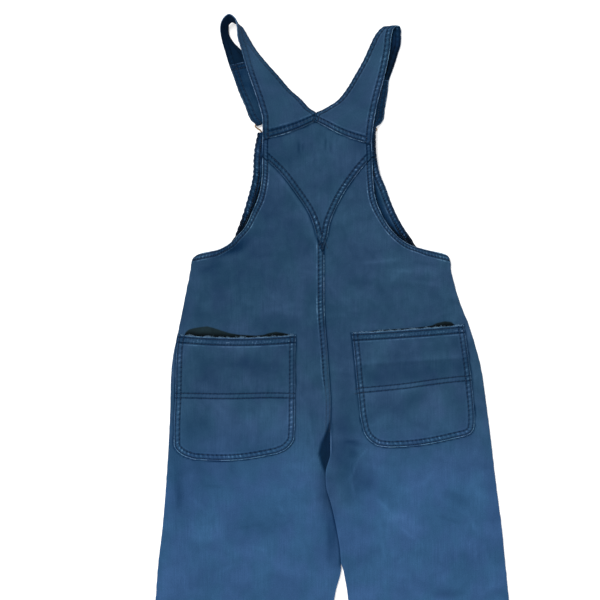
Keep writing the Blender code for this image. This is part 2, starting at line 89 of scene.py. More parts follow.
# Sewing.
FIRST_ROW = 2.0  # from an edge to its first row of stitches
SECOND_ROW = 8.3
ROWS = (FIRST_ROW, SECOND_ROW)
BAND = 10.4  # width of a turned or lapped edge
LAP = 5.0  # how far the upper piece of a lapped seam passes the seam's middle
LAP_RISE = PLY + 0.1  # how much higher the upper piece lies there
LAPPED_FROM_Y = 62.0  # where the centre seam's lap begins, above the crotch
SEAM_END_Y = 362.0  # where its stitches run out under the yoke
FRONT_FROM = 190.0  # how far along a strap its front part begins
LEG_HEM = 13.0
LEG_HEM_ROW = 11.0
LEG_HEM_SCALE = 0.755  # brings a leg hem's row to the second row of a narrower band
LEG_HEM_REACH = 60.0
STITCH_STEP = 1.5  # between the points of a path that is sewn
STITCHED_SHARE = 0.76  # of a stitch's pitch, the rest being the gap
SLANT = 0.55  # how far along the seam a pucker moves for each millimetre across it
SINK = 0.4  # how far a strap's stitches sink where it looks down at the floor

# The stage, in metres.
FLOOR_HALF = 9.0
FLOOR_Z = -0.0004
SUN_TRAVEL = (0.55, -0.62, -1)
VIEW_WIDTH = 0.9  # of what the camera sees at VIEW_LEVEL
VIEW_LEVEL = 0.005
VIEW_CENTRE = (-0.0537, 0.27675)

Point = namedtuple("Point", "level x y")
Section = namedtuple("Section", "left_x left_y left_z right_x right_y right_z free")
PocketRow = namedtuple("PocketRow", "left_x left_y right_x right_y sag")
BibRow = namedtuple("BibRow", "y left_x right_x")
Fold = namedtuple("Fold", "x0 y0 x1 y1 width rise")
Lobe = namedtuple("Lobe", "start end rise")
Clasp = namedtuple("Clasp", "bar_x bar_y along_x along_y")
Patch = namedtuple("Patch", "x y half_x half_y turn amount")
# How a sewn edge looks: the field it follows, its two rows, its puckers' pitch, the strength of its
# pale dots, dark rows, dark ground, worn edge and pale ridge, and how regular the dots are. The
# dots and the ridge are worn cloth with a painted highlight.
Band = namedtuple("Band", "field rows pitch dots row base edge ridge regular")


def table(kind, *rows):
    return [kind(*row) for row in rows]


# The lines that the back is cut to. A panel's row at a level runs from its outer to its inner line.
LEFT_OUTER = table(
    Point,
    (HEM_Y, -307, HEM_Y), (-473, -290, -473), (-233, -273, -233), (-125, -267, -125), (-64, -260, -64),
    (-4, -255, -4), (97, -249, 97), (187, -245, 187), (232, -236, 232), (277, -227, 277),
    (322, -218, 322), (ARMPIT_LEVEL, -215, 338), (354, -205, 346), (364, -178, 352), (376, -160, 361),
    (390, -149, 372), (406, -136, 387), (424, -125, 410), (444, -116, 432), (468, -111, 460),
    (TIP_LEVEL, -110, 490),
)
RIGHT_OUTER = table(
    Point,
    (HEM_Y, 307, HEM_Y), (-473, 287, -473), (-233, 266, -233), (-125, 255, -125), (-64, 249, -64),
    (-4, 241, -4), (97, 229, 97), (187, 215, 187), (232, 202, 232), (277, 185, 277), (322, 173, 322),
    (ARMPIT_LEVEL, 171.5, 337), (354, 165, 345), (364, 137, 352), (376, 113, 359), (390, 97, 369),
    (406, 82, 384), (424, 70, 403), (444, 60, 427), (468, 56, 458), (TIP_LEVEL, 54.5, 490),
)
CENTRE = table(
    Point,
    (CROTCH_Y, -12, CROTCH_Y), (13, -13, 13), (52, -8, 52), (97, -8.5, 97), (187, -14, 187),
    (277, -20, 277), (ARMPIT_LEVEL, -20, ARMPIT_LEVEL),
)
V_LEFT = table(
    Point,
    (354, -20, 352), (368, -23, 367), (390, -29, 392), (412, -38, 413), (438, -56, 440),
    (466, -79, 470), (TIP_LEVEL, -106, 496),
)
V_RIGHT = table(
    Point,
    (354, -20, 352), (368, -18, 367), (390, -14, 392), (412, -6, 413), (438, 8, 440), (466, 29, 470),
    (TIP_LEVEL, 51.5, 496),
)
LEFT_INSEAM = table(
    Point,
    (HEM_Y, -49, HEM_Y), (-473, -32, -473), (-233, -10, -233), (-160, 0, -160),
    (GAP_TOP_Y, 8, GAP_TOP_Y), (-92, 6.5, -92), (-64, 1.5, -64), (-30, -6, -30),
)
RIGHT_INSEAM = table(
    Point,
    (HEM_Y, 49, HEM_Y), (-473, 36, -473), (-233, 22, -233), (-160, 17, -160),
    (GAP_TOP_Y, 11, GAP_TOP_Y), (-92, 8, -92), (-64, 3, -64), (-30, -4.5, -30),
)
LEFT_SHOULDER = table(Point, (TIP_LEVEL, -106, 496), (506, -110, 506), (521, -110, 521.3))
RIGHT_SHOULDER = table(Point, (TIP_LEVEL, 51.5, 496), (506, 54, 504), (521, 54, 514.3))
YOKE_MIDDLE = table(
    Point, (354, -20, 353), (390, -20, 399), (438, -22, 452), (TIP_LEVEL, -26, 509), (521, -28.5, 550.3)
)
BIB_SLOPE = 5.0  # how much lower the left end of the bib's top edge lies
BIB = table(
    BibRow,
    (WAIST_Y + GAP, -221, 177.5), (322, -218, 172), (335, -216, 169.5), (339, -213, 167), (344, -201, 156),
    (350, -181, 132), (357, -166, 121), (368, -154, 114), (382, -148, 104), (401, -141, 93),
    (427, -133, 81.5), (445, -128, 75), (467, -124, 66), (487, -123.5, 62), (515, -120.5, 60),
    (533, -117, 60),
)

# The straps, section by section: up the back, round at the shoulder and down the front, where the
# inner face shows. free is 0 where the strap lies at the back's own height and 1 where z is its own.
LEFT_STRAP = table(
    Section,
    (-110, 522, 6.5, -28.9, 551, 5, 0),
    (-110, 531, 6.5, -29.4, 557, 5, 0.1),
    (-110, 545, 6.6, -39, 564, 4, 0.3),
    (-115, 568, 5.8, -52, 578, 3.8, 0.8),
    (-122, 590, 5, -68, 592, 3.9, 1),
    (-130, 613, 4.8, -86, 613, 4, 1),
    (-136, 632, 6, -104, 633, 4, 1),
    (-142, 653, 10.5, -121, 654, 4.2, 1),
    (-147, 671, 16.5, -132, 672, 4, 1),
    (-148, 686, 21, -141, 686, 3.4, 1),
    (-151, 698, 24, -148, 690, 3, 1),
    (-160, 704, 24, -155.5, 693.5, 2.6, 1),
    (-169, 697, 21, -161, 688, 2.4, 1),
    (-173, 682, 15, -160.5, 676, 2, 1),
    (-171, 667, 9, -154, 664, 1.7, 1),
    (-166, 649, 3.6, -142, 652, 1.3, 1),
    (-160, 629, 1.1, -129, 636, 1.1, 1),
    (-154, 613, 0.9, -122, 620, 0.9, 1),
    (-146, 590, 0.9, -113, 598, 0.9, 1),
    (-136, 567, 0.9, -104, 576, 0.9, 1),
    (-126.5, 545.5, 0.9, -98.5, 557, 0.9, 1),
)
RIGHT_STRAP = table(
    Section,
    (-28.1, 551, 5, 54, 515, 6.5, 0),
    (-27.6, 557, 5, 54.5, 524, 6.5, 0.1),
    (-20, 562, 4, 56, 536, 6.6, 0.3),
    (1, 575, 3.8, 60, 560, 5.8, 0.8),
    (16, 593, 3.9, 66, 586, 5, 1),
    (28, 613, 4, 72, 608, 4.8, 1),
    (41, 636, 4.2, 78, 634, 5, 1),
    (51.5, 659, 4.6, 82, 657, 5.8, 1),
    (60, 675.5, 5.2, 84, 675, 7.2, 1),
    (67, 683.5, 5.2, 87, 684, 8, 1),
    (72.5, 686.5, 4.2, 92, 688, 7, 1),
    (75, 684, 2.6, 96, 687, 5.2, 1),
    (73, 674, 1.7, 98, 678, 3.4, 1),
    (68, 664, 1.2, 98, 665, 2, 1),
    (62, 646, 0.9, 93, 645, 1.1, 1),
    (54, 627, 0.9, 86, 623, 0.9, 1),
    (48, 611, 0.9, 80, 606, 0.9, 1),
    (46, 593, 0.9, 78, 588, 0.9, 1),
    (40, 571, 0.9, 74, 565, 0.9, 1),
    (34.5, 550.5, 0.9, 69.5, 543.5, 0.9, 1),
)
STRAP_END_WIDTH = 26.0
LEFT_SAG = 3.2  # how far the middle of a strap's sewn end hangs below its corners
RIGHT_SAG = 4.6
TAIL_INSET = 0.8
NECK_SCALE = 1.3  # how much narrower a strap's turned edge is along the neck than along the armhole
LEFT_TAIL = 5
RIGHT_TAIL = 4
LEFT_CLASP = Clasp(-108, 544.5, 0.37, -0.93)
RIGHT_CLASP = Clasp(47.5, 538, -0.25, -0.968)

LEFT_POCKET = table(
    PocketRow,
    (-236, 224, -60, 224, 4.2), (-238, 212, -60.5, 212, 0), (-241, 130, -61, 131, 0),
    (-243, 79, -62, 79, 0), (-243, 62, -63.5, 66, 0.6), (-241.5, 55, -67, 60.5, 1.6),
    (-236, 48.5, -71.5, 55.5, 3), (-226, 42, -78, 50.7, 4.4), (-213, 37.7, -88, 46.5, 5.6),
)
RIGHT_POCKET = table(
    PocketRow,
    (24, 227, 192, 239, 0.8), (25.5, 215, 194, 227, 0), (33, 139, 204, 151, 0),
    (39, 91, 208, 100, 0), (42.5, 78, 207.5, 87.5, 0.6), (49, 68, 204.5, 79.5, 1.5),
    (57, 61.7, 199, 75, 2.3), (69, 57, 188, 71.3, 2.8), (80, 55.7, 176, 68.7, 3.1),
)
LEFT_MOUTH = table(Lobe, (0.04, 0.58, 2.7), (0.68, 0.98, 1.2))
RIGHT_MOUTH = table(Lobe, (0.10, 0.60, 1), (0.62, 0.98, 2.4))
MOUTH_DEPTH = 60.0
MOUTH_ROWS = (2.8, 10.8)
DOUBLE_ROWS = (-3.5, 3.5)
LEFT_REINFORCED_Y = (132.8, 133.3)  # middle of the double row across a pocket, at its two sides
RIGHT_REINFORCED_Y = (139, 158.8)

# The largest soft folds of the back, as in the solids, and the finer creases between them.
FOLDS = table(
    Fold,
    (46, 60, 20, -4, 16, 0.9), (-30, 70, -52, -30, 24, 0.9), (-170, 330, -70, 372, 22, 0.7),
    (52, 306, 150, 326, 18, 0.7), (-150, -210, -172, -610, 34, 1.1), (-96, -300, -110, -640, 30, -0.7),
    (150, -200, 178, -600, 34, 1.1), (90, -290, 112, -650, 30, -0.7), (-225, -60, -236, -190, 24, -0.7),
    (215, -40, 232, -180, 24, -0.7),
)
CREASES = table(
    Fold,
    (33, 54, 23, 6, 3.5, 0.9), (46, 62, 31, 40, 3.5, 0.7), (23, 6, 34, -28, 4, 0.45),
    (12, 70, 36, 62, 4, -0.7), (22, 50, 30, 36, 4, -0.6), (6, 96, -2, 30, 7, -0.5),
    (-6, -36, -5, -104, 4, 0.5), (-30, 96, -44, 60, 6, 0.4), (-38, 70, -28, 20, 5, -0.5),
    (-150, 375, -112, 372, 8, -0.6), (-205, 318, -178, 330, 9, -0.5), (-196, 296, -150, 310, 7, 0.4),
    (-128, 300, -86, 322, 8, 0.35), (-118, 262, -64, 274, 7, -0.35), (-60, 330, -38, 300, 6, 0.35),
    (40, 344, 96, 336, 6, 0.45), (60, 326, 118, 322, 5, 0.4), (88, 308, 150, 300, 6, 0.4),
    (30, 300, 62, 288, 6, -0.35), (108, 336, 140, 330, 7, -0.4), (20, 268, 52, 276, 7, 0.3),
    (-208, 20, -196, -60, 11, 0.5), (-232, 10, -230, -34, 7, -0.7), (-160, 18, -120, -4, 9, -0.4),
    (-130, -40, -96, -110, 10, 0.45), (-88, -60, -70, -150, 9, -0.4), (-190, -110, -150, -160, 10, 0.4),
    (-56, -10, -40, -84, 9, 0.45), (36, -16, 60, -74, 9, -0.45), (60, 10, 96, -38, 9, 0.5),
    (110, 20, 86, -10, 7, -0.5), (130, -30, 170, -90, 11, 0.5), (172, 6, 206, -40, 9, -0.5),
    (210, 30, 222, -60, 9, 0.45), (110, -90, 80, -150, 10, -0.45), (196, -96, 150, -164, 11, 0.45),
    (-120, -250, -150, -360, 16, 0.5), (-230, -300, -200, -420, 15, -0.5), (-70, -380, -86, -520, 15, 0.5),
    (-200, -520, -240, -640, 16, 0.5), (70, -240, 110, -360, 16, 0.5), (220, -280, 190, -400, 15, -0.5),
    (80, -420, 96, -560, 15, 0.5), (230, -500, 250, -640, 16, 0.5), (150, -620, 110, -690, 14, -0.4),
)

# Shade of the wash: 0 is unworn near-black navy, 0.25 the inner face, 0.5 the body's blue, 0.65 the
# legs' blue and 1 cloth worn pale.
WASH = [(-705, 0.65), (-90, 0.66), (-20, 0.64), (50, 0.595), (130, 0.555), (220, 0.52), (320, 0.50),
        (560, 0.50)]
# Some patches are painted shade: under the armholes' turned edges, at the yoke's lower point, along the left
# leg's inner edge and beside the crotch. The rest are the wash's own uneven tone.
PATCHES = table(
    Patch,
    (-148, 357, 18, 9, 24, -0.26), (-14, -25, 12, 48, 0, -0.10), (-237, 20, 14, 84, 2, -0.09),
    (14, 20, 22, 46, 0, -0.05), (34, -6, 18, 14, 0, -0.03), (-168, 348, 16, 6, 16, -0.15),
    (-98, 12, 50, 40, 0, 0.055), (134, 6, 50, 40, 0, 0.07), (202, -106, 64, 24, 14, -0.08),
    (40, -112, 44, 22, 0, -0.06), (-143, 298, 34, 50, 0, -0.06), (22, 338, 50, 34, 0, 0.05),
    (14, 164, 12, 60, 0, -0.04), (42, 513, 24, 18, 0, -0.08), (-98, 518, 16, 12, 0, -0.06),
    (-256, -148, 14, 22, 0, 0.06), (-176, 336, 14, 14, 0, -0.05), (-21.2, 359.5, 2.4, 11, 0, -0.28),
    (-124, 374, 24, 9, 12, -0.10), (-150, 352, 40, 10, 14, -0.05), (-188, 322, 16, 15, 0, -0.05),
    (-142, 296, 36, 12, 25, 0.04), (-90, 250, 26, 20, 0, -0.035), (-60, 300, 20, 40, 0, 0.03),
    (103, 316, 60, 9, 8, 0.05), (70, 336, 40, 5, 5, 0.04), (60, 296, 34, 12, -14, -0.04),
    (110, 342, 24, 6, 4, -0.05), (130, 276, 40, 22, 0, 0.03), (150, 236, 22, 10, 4, -0.05),
    (14, 60, 18, 60, 0, -0.10), (27, 62, 13, 4, -10, -0.12), (26, 46, 6, 6, 0, -0.10),
    (40, 14, 24, 12, -30, -0.08), (44, -2, 20, 8, 0, -0.05), (62, 36, 10, 26, 20, 0.04),
    (-30, 84, 12, 34, 12, -0.05), (-48, 20, 20, 40, 10, 0.03), (-236, -12, 6, 22, 4, -0.11),
    (-205, 10, 16, 26, 0, -0.05), (-180, -80, 44, 12, -30, 0.04), (-120, -60, 40, 14, 0, -0.03),
    (-90, -120, 44, 14, -22, 0.04), (-190, -140, 36, 14, 20, -0.04), (-50, -70, 18, 40, 0, 0.03),
    (-6, -74, 7, 36, -4, -0.16), (90, -50, 50, 12, -40, 0.045), (184, -22, 22, 9, -28, -0.07),
    (130, -96, 44, 14, 34, -0.04), (200, -90, 30, 16, -30, 0.04), (170, -163, 24, 7, 0, -0.07),
    (60, -120, 30, 14, 30, 0.04), (215, 0, 16, 30, 0, 0.04), (224, 76, 8, 44, 0, -0.03),
)
PATCHES_ON_LEFT_POCKET = table(
    Patch, (-130, 178, 36, 16, 0, -0.06), (-196, 170, 26, 30, 0, -0.03), (-170, 100, 20, 30, 10, 0.05),
    (-100, 92, 34, 26, 0, 0.05), (-210, 92, 26, 26, 0, -0.07), (-150, 206, 70, 6, 0, 0.03),
    (-136, 84, 60, 22, 0, -0.04),
)
PATCHES_ON_RIGHT_POCKET = table(
    Patch, (110, 206, 80, 14, 4, 0.05), (112, 170, 84, 12, 6, -0.05), (150, 120, 30, 24, 0, 0.04),
    (90, 110, 26, 30, 0, -0.03), (120, 80, 60, 10, 8, 0.03), (180, 214, 8, 8, 0, -0.10),
    (97, 127, 60, 12, 8, -0.045), (182, 140, 20, 28, 0, -0.055),
)

# Fine lines added to the shade by their rise: along creases they are painted highlight on the crest and
# painted shade in the fold, elsewhere the wash's own streaks.
STREAKS = table(
    Fold,
    (47, 54, 33, 37, 1.3, 0.12), (33, 37, 23, 9, 1.6, 0.14), (23, 9, 27, -18, 1.8, 0.07),
    (60, 92, 44, 74, 2.5, 0.06), (44, 74, 34, 92, 2, 0.05), (12, 64, 38, 66, 2, -0.08),
    (-205, 318, -178, 330, 4, -0.06), (-110, 258, -62, 270, 3, 0.05), (40, 332, 96, 338, 2.5, 0.07),
    (70, 322, 122, 320, 2.5, 0.06), (100, 306, 156, 300, 3, 0.06), (118, 334, 150, 328, 3, -0.06),
    (36, 300, 60, 292, 3, 0.05), (-206, 268, -176, 276, 3, 0.04), (-60, 322, -34, 318, 2.5, 0.05),
    (-120, 340, -96, 346, 3, -0.05), (-48, 250, -32, 236, 2.5, 0.04), (150, 250, 176, 256, 3, -0.05),
    (-40, 90, -34, 60, 2.5, 0.05), (-216, -20, -196, -40, 3, 0.06), (-196, -2, -170, -4, 2.2, -0.06),
    (-150, -66, -110, -60, 2.5, -0.05), (-128, -92, -104, -100, 2.5, 0.06),
    (-176, -132, -150, -120, 3, 0.05),
    (-88, -30, -72, -48, 2.5, 0.05), (60, -20, 84, -44, 3, 0.06), (96, -64, 116, -80, 2.5, 0.05),
    (150, -46, 186, -58, 3, -0.05), (196, -40, 214, -74, 3, 0.05), (90, -120, 112, -104, 2.5, 0.06),
    (70, -84, 74, -112, 2.5, 0.05), (30, -60, 34, -104, 3, 0.04), (-6, -36, -5, -104, 2, 0.06),
    (150, 26, 132, 0, 3, 0.05), (204, -110, 226, -90, 3, 0.04), (140, -140, 166, -128, 3, -0.04),
    (-26, 500, -26, 480, 1.6, 0.05), (-44, 440, -42, 400, 2.2, 0.04), (10, 462, 8, 430, 2, 0.04),
    (-70, 478, -62, 452, 3, -0.05), (-56, 517, -55, 495, 2.2, -0.17), (-49, 512, -50, 498, 1.8, -0.12),
    (-15, 519, -16, 501, 2, -0.15), (-8, 514, -8, 498, 1.8, -0.12),
)

PATCHES_ON_STRAPS = table(
    Patch, (-120, 634, 12, 34, 18, 0.06), (-31, 588, 20, 22, 0, 0.05), (40, 520, 24, 14, 0, -0.07),
    (-92, 526, 18, 12, 0, -0.05), (60, 610, 8, 40, -12, 0.05),
)
# The bib's dark patches are painted shade, where it lies in the gap under the back's edges; its pale ones are
# lighter strips of its own cloth.
PATCHES_ON_BIB = table(
    Patch, (-138, 384, 13, 28, -22, -0.38), (-118, 436, 3, 30, -6, -0.16), (112, 362, 15, 13, 0, -0.42),
    (92, 378, 11, 16, 35, -0.14), (-132, 440, 6, 50, -8, 0.16), (70, 440, 8, 50, 14, 0.12),
    (-118, 490, 4, 24, 0, 0.10),
    (62, 508, 8, 24, 0, -0.22), (-118, 520, 6, 14, 0, -0.10),
)

# Outlines of painted shade: in the crotch's recess, and above the pockets' gaping mouths, where the cloth
# inside is also unfaded.
CROTCH_RECESS = [(-9.3, 95), (-15, 78), (-22, 62), (-26, 46), (-21, 30), (-15, 14), (-11.5, 28),
                 (-8.5, 46), (-8.8, 62), (-8, 80)]
LEFT_GAPE = [(-228, 220), (-226, 228), (-221, 232.5), (-212, 235), (-203, 236.3), (-193, 237.5),
             (-183, 235), (-172, 231.3), (-160, 227.5), (-146, 225), (-120, 223.5), (-108, 224.7),
             (-101, 227.3), (-90, 229.3), (-79, 227.6), (-70, 225.5), (-63, 221), (-70, 214), (-220, 214)]
RIGHT_GAPE = [(27, 224), (60, 231.3), (100, 234), (134, 236.8), (145, 239), (151, 242.3), (163, 245),
              (173, 244.2), (178, 240), (179, 232), (30, 220)]


# --- Settings -------------------------------------------------------------------------------------


def measure(name, description, default, least=0.0):
    """A setting that is a distance."""
    return FloatProperty(
        name=name, description=description, default=default, min=least, unit="LENGTH", subtype="DISTANCE"
    )


def color(name, description, default, most=1.0):
    """A setting that is a colour."""
    return FloatVectorProperty(
        name=name, description=description, default=default, size=3, min=0.0, max=most, subtype="COLOR"
    )


def factor(name, description, default):
    """A setting from 0 to 1."""
    return FloatProperty(
        name=name, description=description, default=default, min=0.0, max=1.0, subtype="FACTOR"
    )


class DungareesCloth(bpy.types.PropertyGroup):
    fold_rise: measure("Hem Rise", "Height that a turned or lapped edge adds", 0.7 * MM)
    pucker_rise: measure("Pucker Rise", "Height of the puckers between two rows of stitches", 0.42 * MM)
    pucker_pitch: measure("Pucker Pitch", "Distance between puckers along a seam", 8.6 * MM, MM)
    drift: measure("Drift", "Height of the cloth's slight unevenness", 0.28 * MM)
    stitch_pitch: measure("Stitch Pitch", "Length of a stitch with the gap after it", 3.4 * MM, MM)
    thread_radius: measure("Thread Radius", "Half the thickness of the thread", 0.42 * MM, 0.1 * MM)
    deepest: color("Deepest", "Cloth in the deepest shade of a fold", (0.0010, 0.0035, 0.0085))
    inside: color("Inside", "Unfaded cloth, as on the inner face and in seams", (0.0040, 0.0220, 0.0590))
    body: color("Body", "The washed cloth of the back and straps", (0.0180, 0.0500, 0.1010))
    faded: color("Faded", "Cloth a little paler than the body", (0.0312, 0.0750, 0.1445))
    # The pale stop serves worn ridges and puckers and also their painted highlights.
    pale: color("Pale", "Cloth faded along ridges and puckers", (0.0485, 0.1090, 0.2050))
    worn: color("Worn", "Cloth worn pale along its edges", (0.1266, 0.2280, 0.3435))
    leg_tint: color("Leg Tint", "What makes the legs' colour bluer", (0.86, 1.02, 1.19), 2.0)
    # The gape's colour is cloth inside a pocket, shown in painted shade.
    gape: color("Gape", "Cloth inside a gaping pocket", (0.0085, 0.0175, 0.0225))
    thread: color("Thread", "Sewing thread", (0.0045, 0.0170, 0.0400))
    roughness: factor("Roughness", "How matt the cloth is", 0.9)
    fray_seed: IntProperty(name="Fray Seed", description="Changes how the pocket mouths fray", default=4)


class DungareesHardware(bpy.types.PropertyGroup):
    brass: color("Brass", "Colour of the clasps and buttons", (0.30, 0.175, 0.07))
    roughness: factor("Roughness", "How dull the brass is", 0.45)


class DungareesStage(bpy.types.PropertyGroup):
    floor: color("Floor", "Colour of the floor", (0.97, 0.97, 0.965))
    floor_glow: FloatProperty(
        name="Floor Glow", description="Light through the floor, which fades the shadows on it",
        default=0.3, min=0.0,
    )
    sun: FloatProperty(
        name="Sun", description="Strength of the soft light from above the left strap", default=2.3,
        min=0.0,
    )
    sun_angle: FloatProperty(
        name="Sun Softness", description="How wide the soft light is", default=math.radians(24.0),
        min=0.0, subtype="ANGLE",
    )
    sky: FloatProperty(
        name="Sky", description="Brightness of the light from all round", default=0.66, min=0.0,
    )
    lens: FloatProperty(
        name="Lens", description="Focal length of the camera in millimetres", default=200.0, min=10.0,
    )


# --- Shapes ---------------------------------------------------------------------------------------


def smooth(at, stations, values):
    """A smooth cubic through a table's rows that never swings past them.

    Each row's slope is that of the parabola through it and its neighbours, held to three times
    the gentler slope beside it, and is zero where the slopes on its two sides differ in sign.
    """
    stations = np.asarray(stations, float)
    values = np.asarray(values, float).reshape(len(stations), -1)
    step = np.diff(stations)[:, None]
    slope = np.diff(values, axis=0) / step
    before, after = slope[:-1], slope[1:]
    parabola = (before * step[1:] + after * step[:-1]) / (step[1:] + step[:-1])
    limit = 3 * np.minimum(np.abs(before), np.abs(after)) * (before * after > 0)
    tangent = np.vstack([slope[:1], np.clip(parabola, -limit, limit), slope[-1:]])
    at = np.clip(np.asarray(at, float), stations[0], stations[-1])
    k = np.clip(np.searchsorted(stations, at, side="right") - 1, 0, len(step) - 1)
    h = step[k]
    t = (at - stations[k])[:, None] / h
    return (
        values[k] * (1 + 2 * t) * (1 - t) ** 2
        + values[k + 1] * t**2 * (3 - 2 * t)
        + tangent[k] * h * t * (1 - t) ** 2
        - tangent[k + 1] * h * t**2 * (1 - t)
    )


def smooth_grid(at, stations, values):
    """The same cubic through single values, for a whole grid of places."""
    return smooth(np.ravel(at), stations, values).reshape(np.shape(at))


def rise(value, start, width):
    """0 up to the start, 1 from one width above it, and 3t^2 - 2t^3 between them."""
    t = np.clip((value - start) / width, 0, 1)
    return t * t * (3 - 2 * t)


def fall(value, start, width):
    """A rise turned over: 1 up to the start and 0 from one width above it."""
    return 1 - rise(value, start, width)


def bell(value, centre, width):
    """1 at the centre, falling to 1/e at one width from it: exp(-t^2)."""
    return np.exp(-np.square((value - centre) / width))


def unit(vectors):
    """The same directions, each one long."""
    return vectors / np.linalg.norm(vectors, axis=-1, keepdims=True)


def on_line(line, levels):
    """The (x, y) of a cutting line at each level."""
    return smooth(levels, [p.level for p in line], [(p.x, p.y) for p in line])


def drawn(line):
    """A cutting line as points about two millimetres apart."""
    count = int((line[-1].level - line[0].level) / 2) + 2
    return on_line(line, np.linspace(line[0].level, line[-1].level, count))


def travel(path):
    """How far along a path each of its points lies."""
    return np.concatenate([[0], np.cumsum(np.linalg.norm(np.diff(path, axis=0), axis=1))])


def picked(at, stations, rows):
    """The rows of an array, interpolated at places along their stations."""
    return np.stack([np.interp(at, stations, column) for column in np.transpose(rows)], axis=-1)


def evenly(points, step=STITCH_STEP):
    """The same polyline with its points one even step apart."""
    along = travel(points)
    return picked(np.linspace(0, along[-1], max(2, int(along[-1] / step) + 1)), along, points)


def shifted(points, distance):
    """A polyline moved sideways by one distance or one for each point, to its left if positive."""
    along = unit(np.gradient(points, axis=0))
    return points + np.reshape(distance, (-1, 1)) * np.column_stack([-along[:, 1], along[:, 0]])


def nearest(x, y, line):
    """How far each point is from a polyline, and how far along the polyline its nearest point lies."""
    best = np.full(np.shape(x), 1e9)
    place = np.zeros(np.shape(x))
    run = 0
    for (ax, ay), (bx, by) in zip(line[:-1], line[1:]):
        length = math.hypot(bx - ax, by - ay)
        ux, uy = (bx - ax) / length, (by - ay) / length
        t = np.clip((x - ax) * ux + (y - ay) * uy, 0, length)
        away = np.hypot(x - ax - t * ux, y - ay - t * uy)
        closer = away < best
        best = np.where(closer, away, best)
        place = np.where(closer, run + t, place)
        run += length
    return best, place


def nearest_of(x, y, lines):
    """The same for the nearer of two polylines."""
    (first, first_place), (second, second_place) = (nearest(x, y, line) for line in lines)
    return np.minimum(first, second), np.where(first < second, first_place, second_place)


def within(x, y, outline):
    """Distance from each point to a closed outline, positive inside it and negative outside."""
    inside = np.zeros(np.shape(x), bool)
    for (ax, ay), (bx, by) in zip(outline, outline[1:] + outline[:1]):
        if ay != by:
            inside ^= ((ay > y) != (by > y)) & (x < (bx - ax) * (y - ay) / (by - ay) + ax)
    away, _ = nearest(x, y, outline + outline[:1])
    return np.where(inside, away, -away)


def ripple(x, y, size, seed):
    """Smooth random relief between about -1 and 1: sine waves of about one size, all directions."""
    waves = np.random.default_rng(seed).uniform((0, 0, 0.7), (math.pi, 2 * math.pi, 1.7), (9, 3))
    total = np.zeros(np.shape(x))
    for turn, phase, stretch in waves:
        across = x * math.cos(turn) + y * math.sin(turn)
        total += np.sin(2 * math.pi / (size * stretch) * across + phase)
    return total / 4.5


def folded(x, y, folds, fading=0.65):
    """The sum of straight folds: each has a bell-shaped section and fades as a sine to its ends."""
    total = np.zeros(np.shape(x))
    for f in folds:
        away, place = nearest(x, y, [(f.x0, f.y0), (f.x1, f.y1)])
        share = place / math.hypot(f.x1 - f.x0, f.y1 - f.y0)
        total += f.rise * bell(away, 0, f.width) * (1 - fading + fading * np.sin(math.pi * share))
    return total


def patched(x, y, patches):
    """The sum of soft oval patches, each turned by its own angle."""
    total = np.zeros(np.shape(x))
    for p in patches:
        c, s = math.cos(math.radians(p.turn)), math.sin(math.radians(p.turn))
        u = ((x - p.x) * c + (y - p.y) * s) / p.half_x
        v = ((y - p.y) * c - (x - p.x) * s) / p.half_y
        total += p.amount * np.exp(-(u * u + v * v) ** 1.4)
    return total


Side = namedtuple(
    "Side",
    "name inwards outer seam v shoulder armhole strap sag clasp tail pocket lobes double_y gape patches",
)


def armhole_line(outer, corner):
    """An armhole's turned edge, which runs straight out to a corner at the side seam."""
    return np.vstack([[corner], drawn([p for p in outer if p.level >= YOKE_POINT])])


# The two sides of the garment. inwards is 1 where the garment's middle lies towards +X, and -1 else.
LEFT = Side(
    name="left", inwards=1, outer=LEFT_OUTER, seam=LEFT_INSEAM + CENTRE + V_LEFT, v=V_LEFT,
    shoulder=LEFT_SHOULDER, armhole=armhole_line(LEFT_OUTER, (-236, 339.1)), strap=LEFT_STRAP,
    sag=LEFT_SAG, clasp=LEFT_CLASP, tail=LEFT_TAIL, pocket=LEFT_POCKET, lobes=LEFT_MOUTH,
    double_y=LEFT_REINFORCED_Y, gape=LEFT_GAPE, patches=PATCHES_ON_LEFT_POCKET,
)
RIGHT = Side(
    name="right", inwards=-1, outer=RIGHT_OUTER, seam=RIGHT_INSEAM + CENTRE + V_RIGHT, v=V_RIGHT,
    shoulder=RIGHT_SHOULDER, armhole=armhole_line(RIGHT_OUTER, (193, 338)), strap=RIGHT_STRAP,
    sag=RIGHT_SAG, clasp=RIGHT_CLASP, tail=RIGHT_TAIL, pocket=RIGHT_POCKET, lobes=RIGHT_MOUTH,
    double_y=RIGHT_REINFORCED_Y, gape=RIGHT_GAPE, patches=PATCHES_ON_RIGHT_POCKET,
)
SIDES = (LEFT, RIGHT)


def pile(x, y):
    """1 over the buttons and clasps, falling smoothly to 0 away from them."""
    bare = 1
    for clasp in (side.clasp for side in SIDES):
        end = (clasp.bar_x + CLASP_LENGTH * clasp.along_x, clasp.bar_y + CLASP_LENGTH * clasp.along_y)
        away, _ = nearest(x, y, [(clasp.bar_x, clasp.bar_y), end])
        bare = bare * rise(away, PILE_FLAT, PILE_REACH - PILE_FLAT)
    return 1 - bare


def line_x(line, y):
    """Where a cutting line crosses a height, below the armpits."""
    below = [p for p in line if p.level <= ARMPIT_LEVEL]
    return smooth_grid(y, [p.y for p in below], [p.x for p in below])


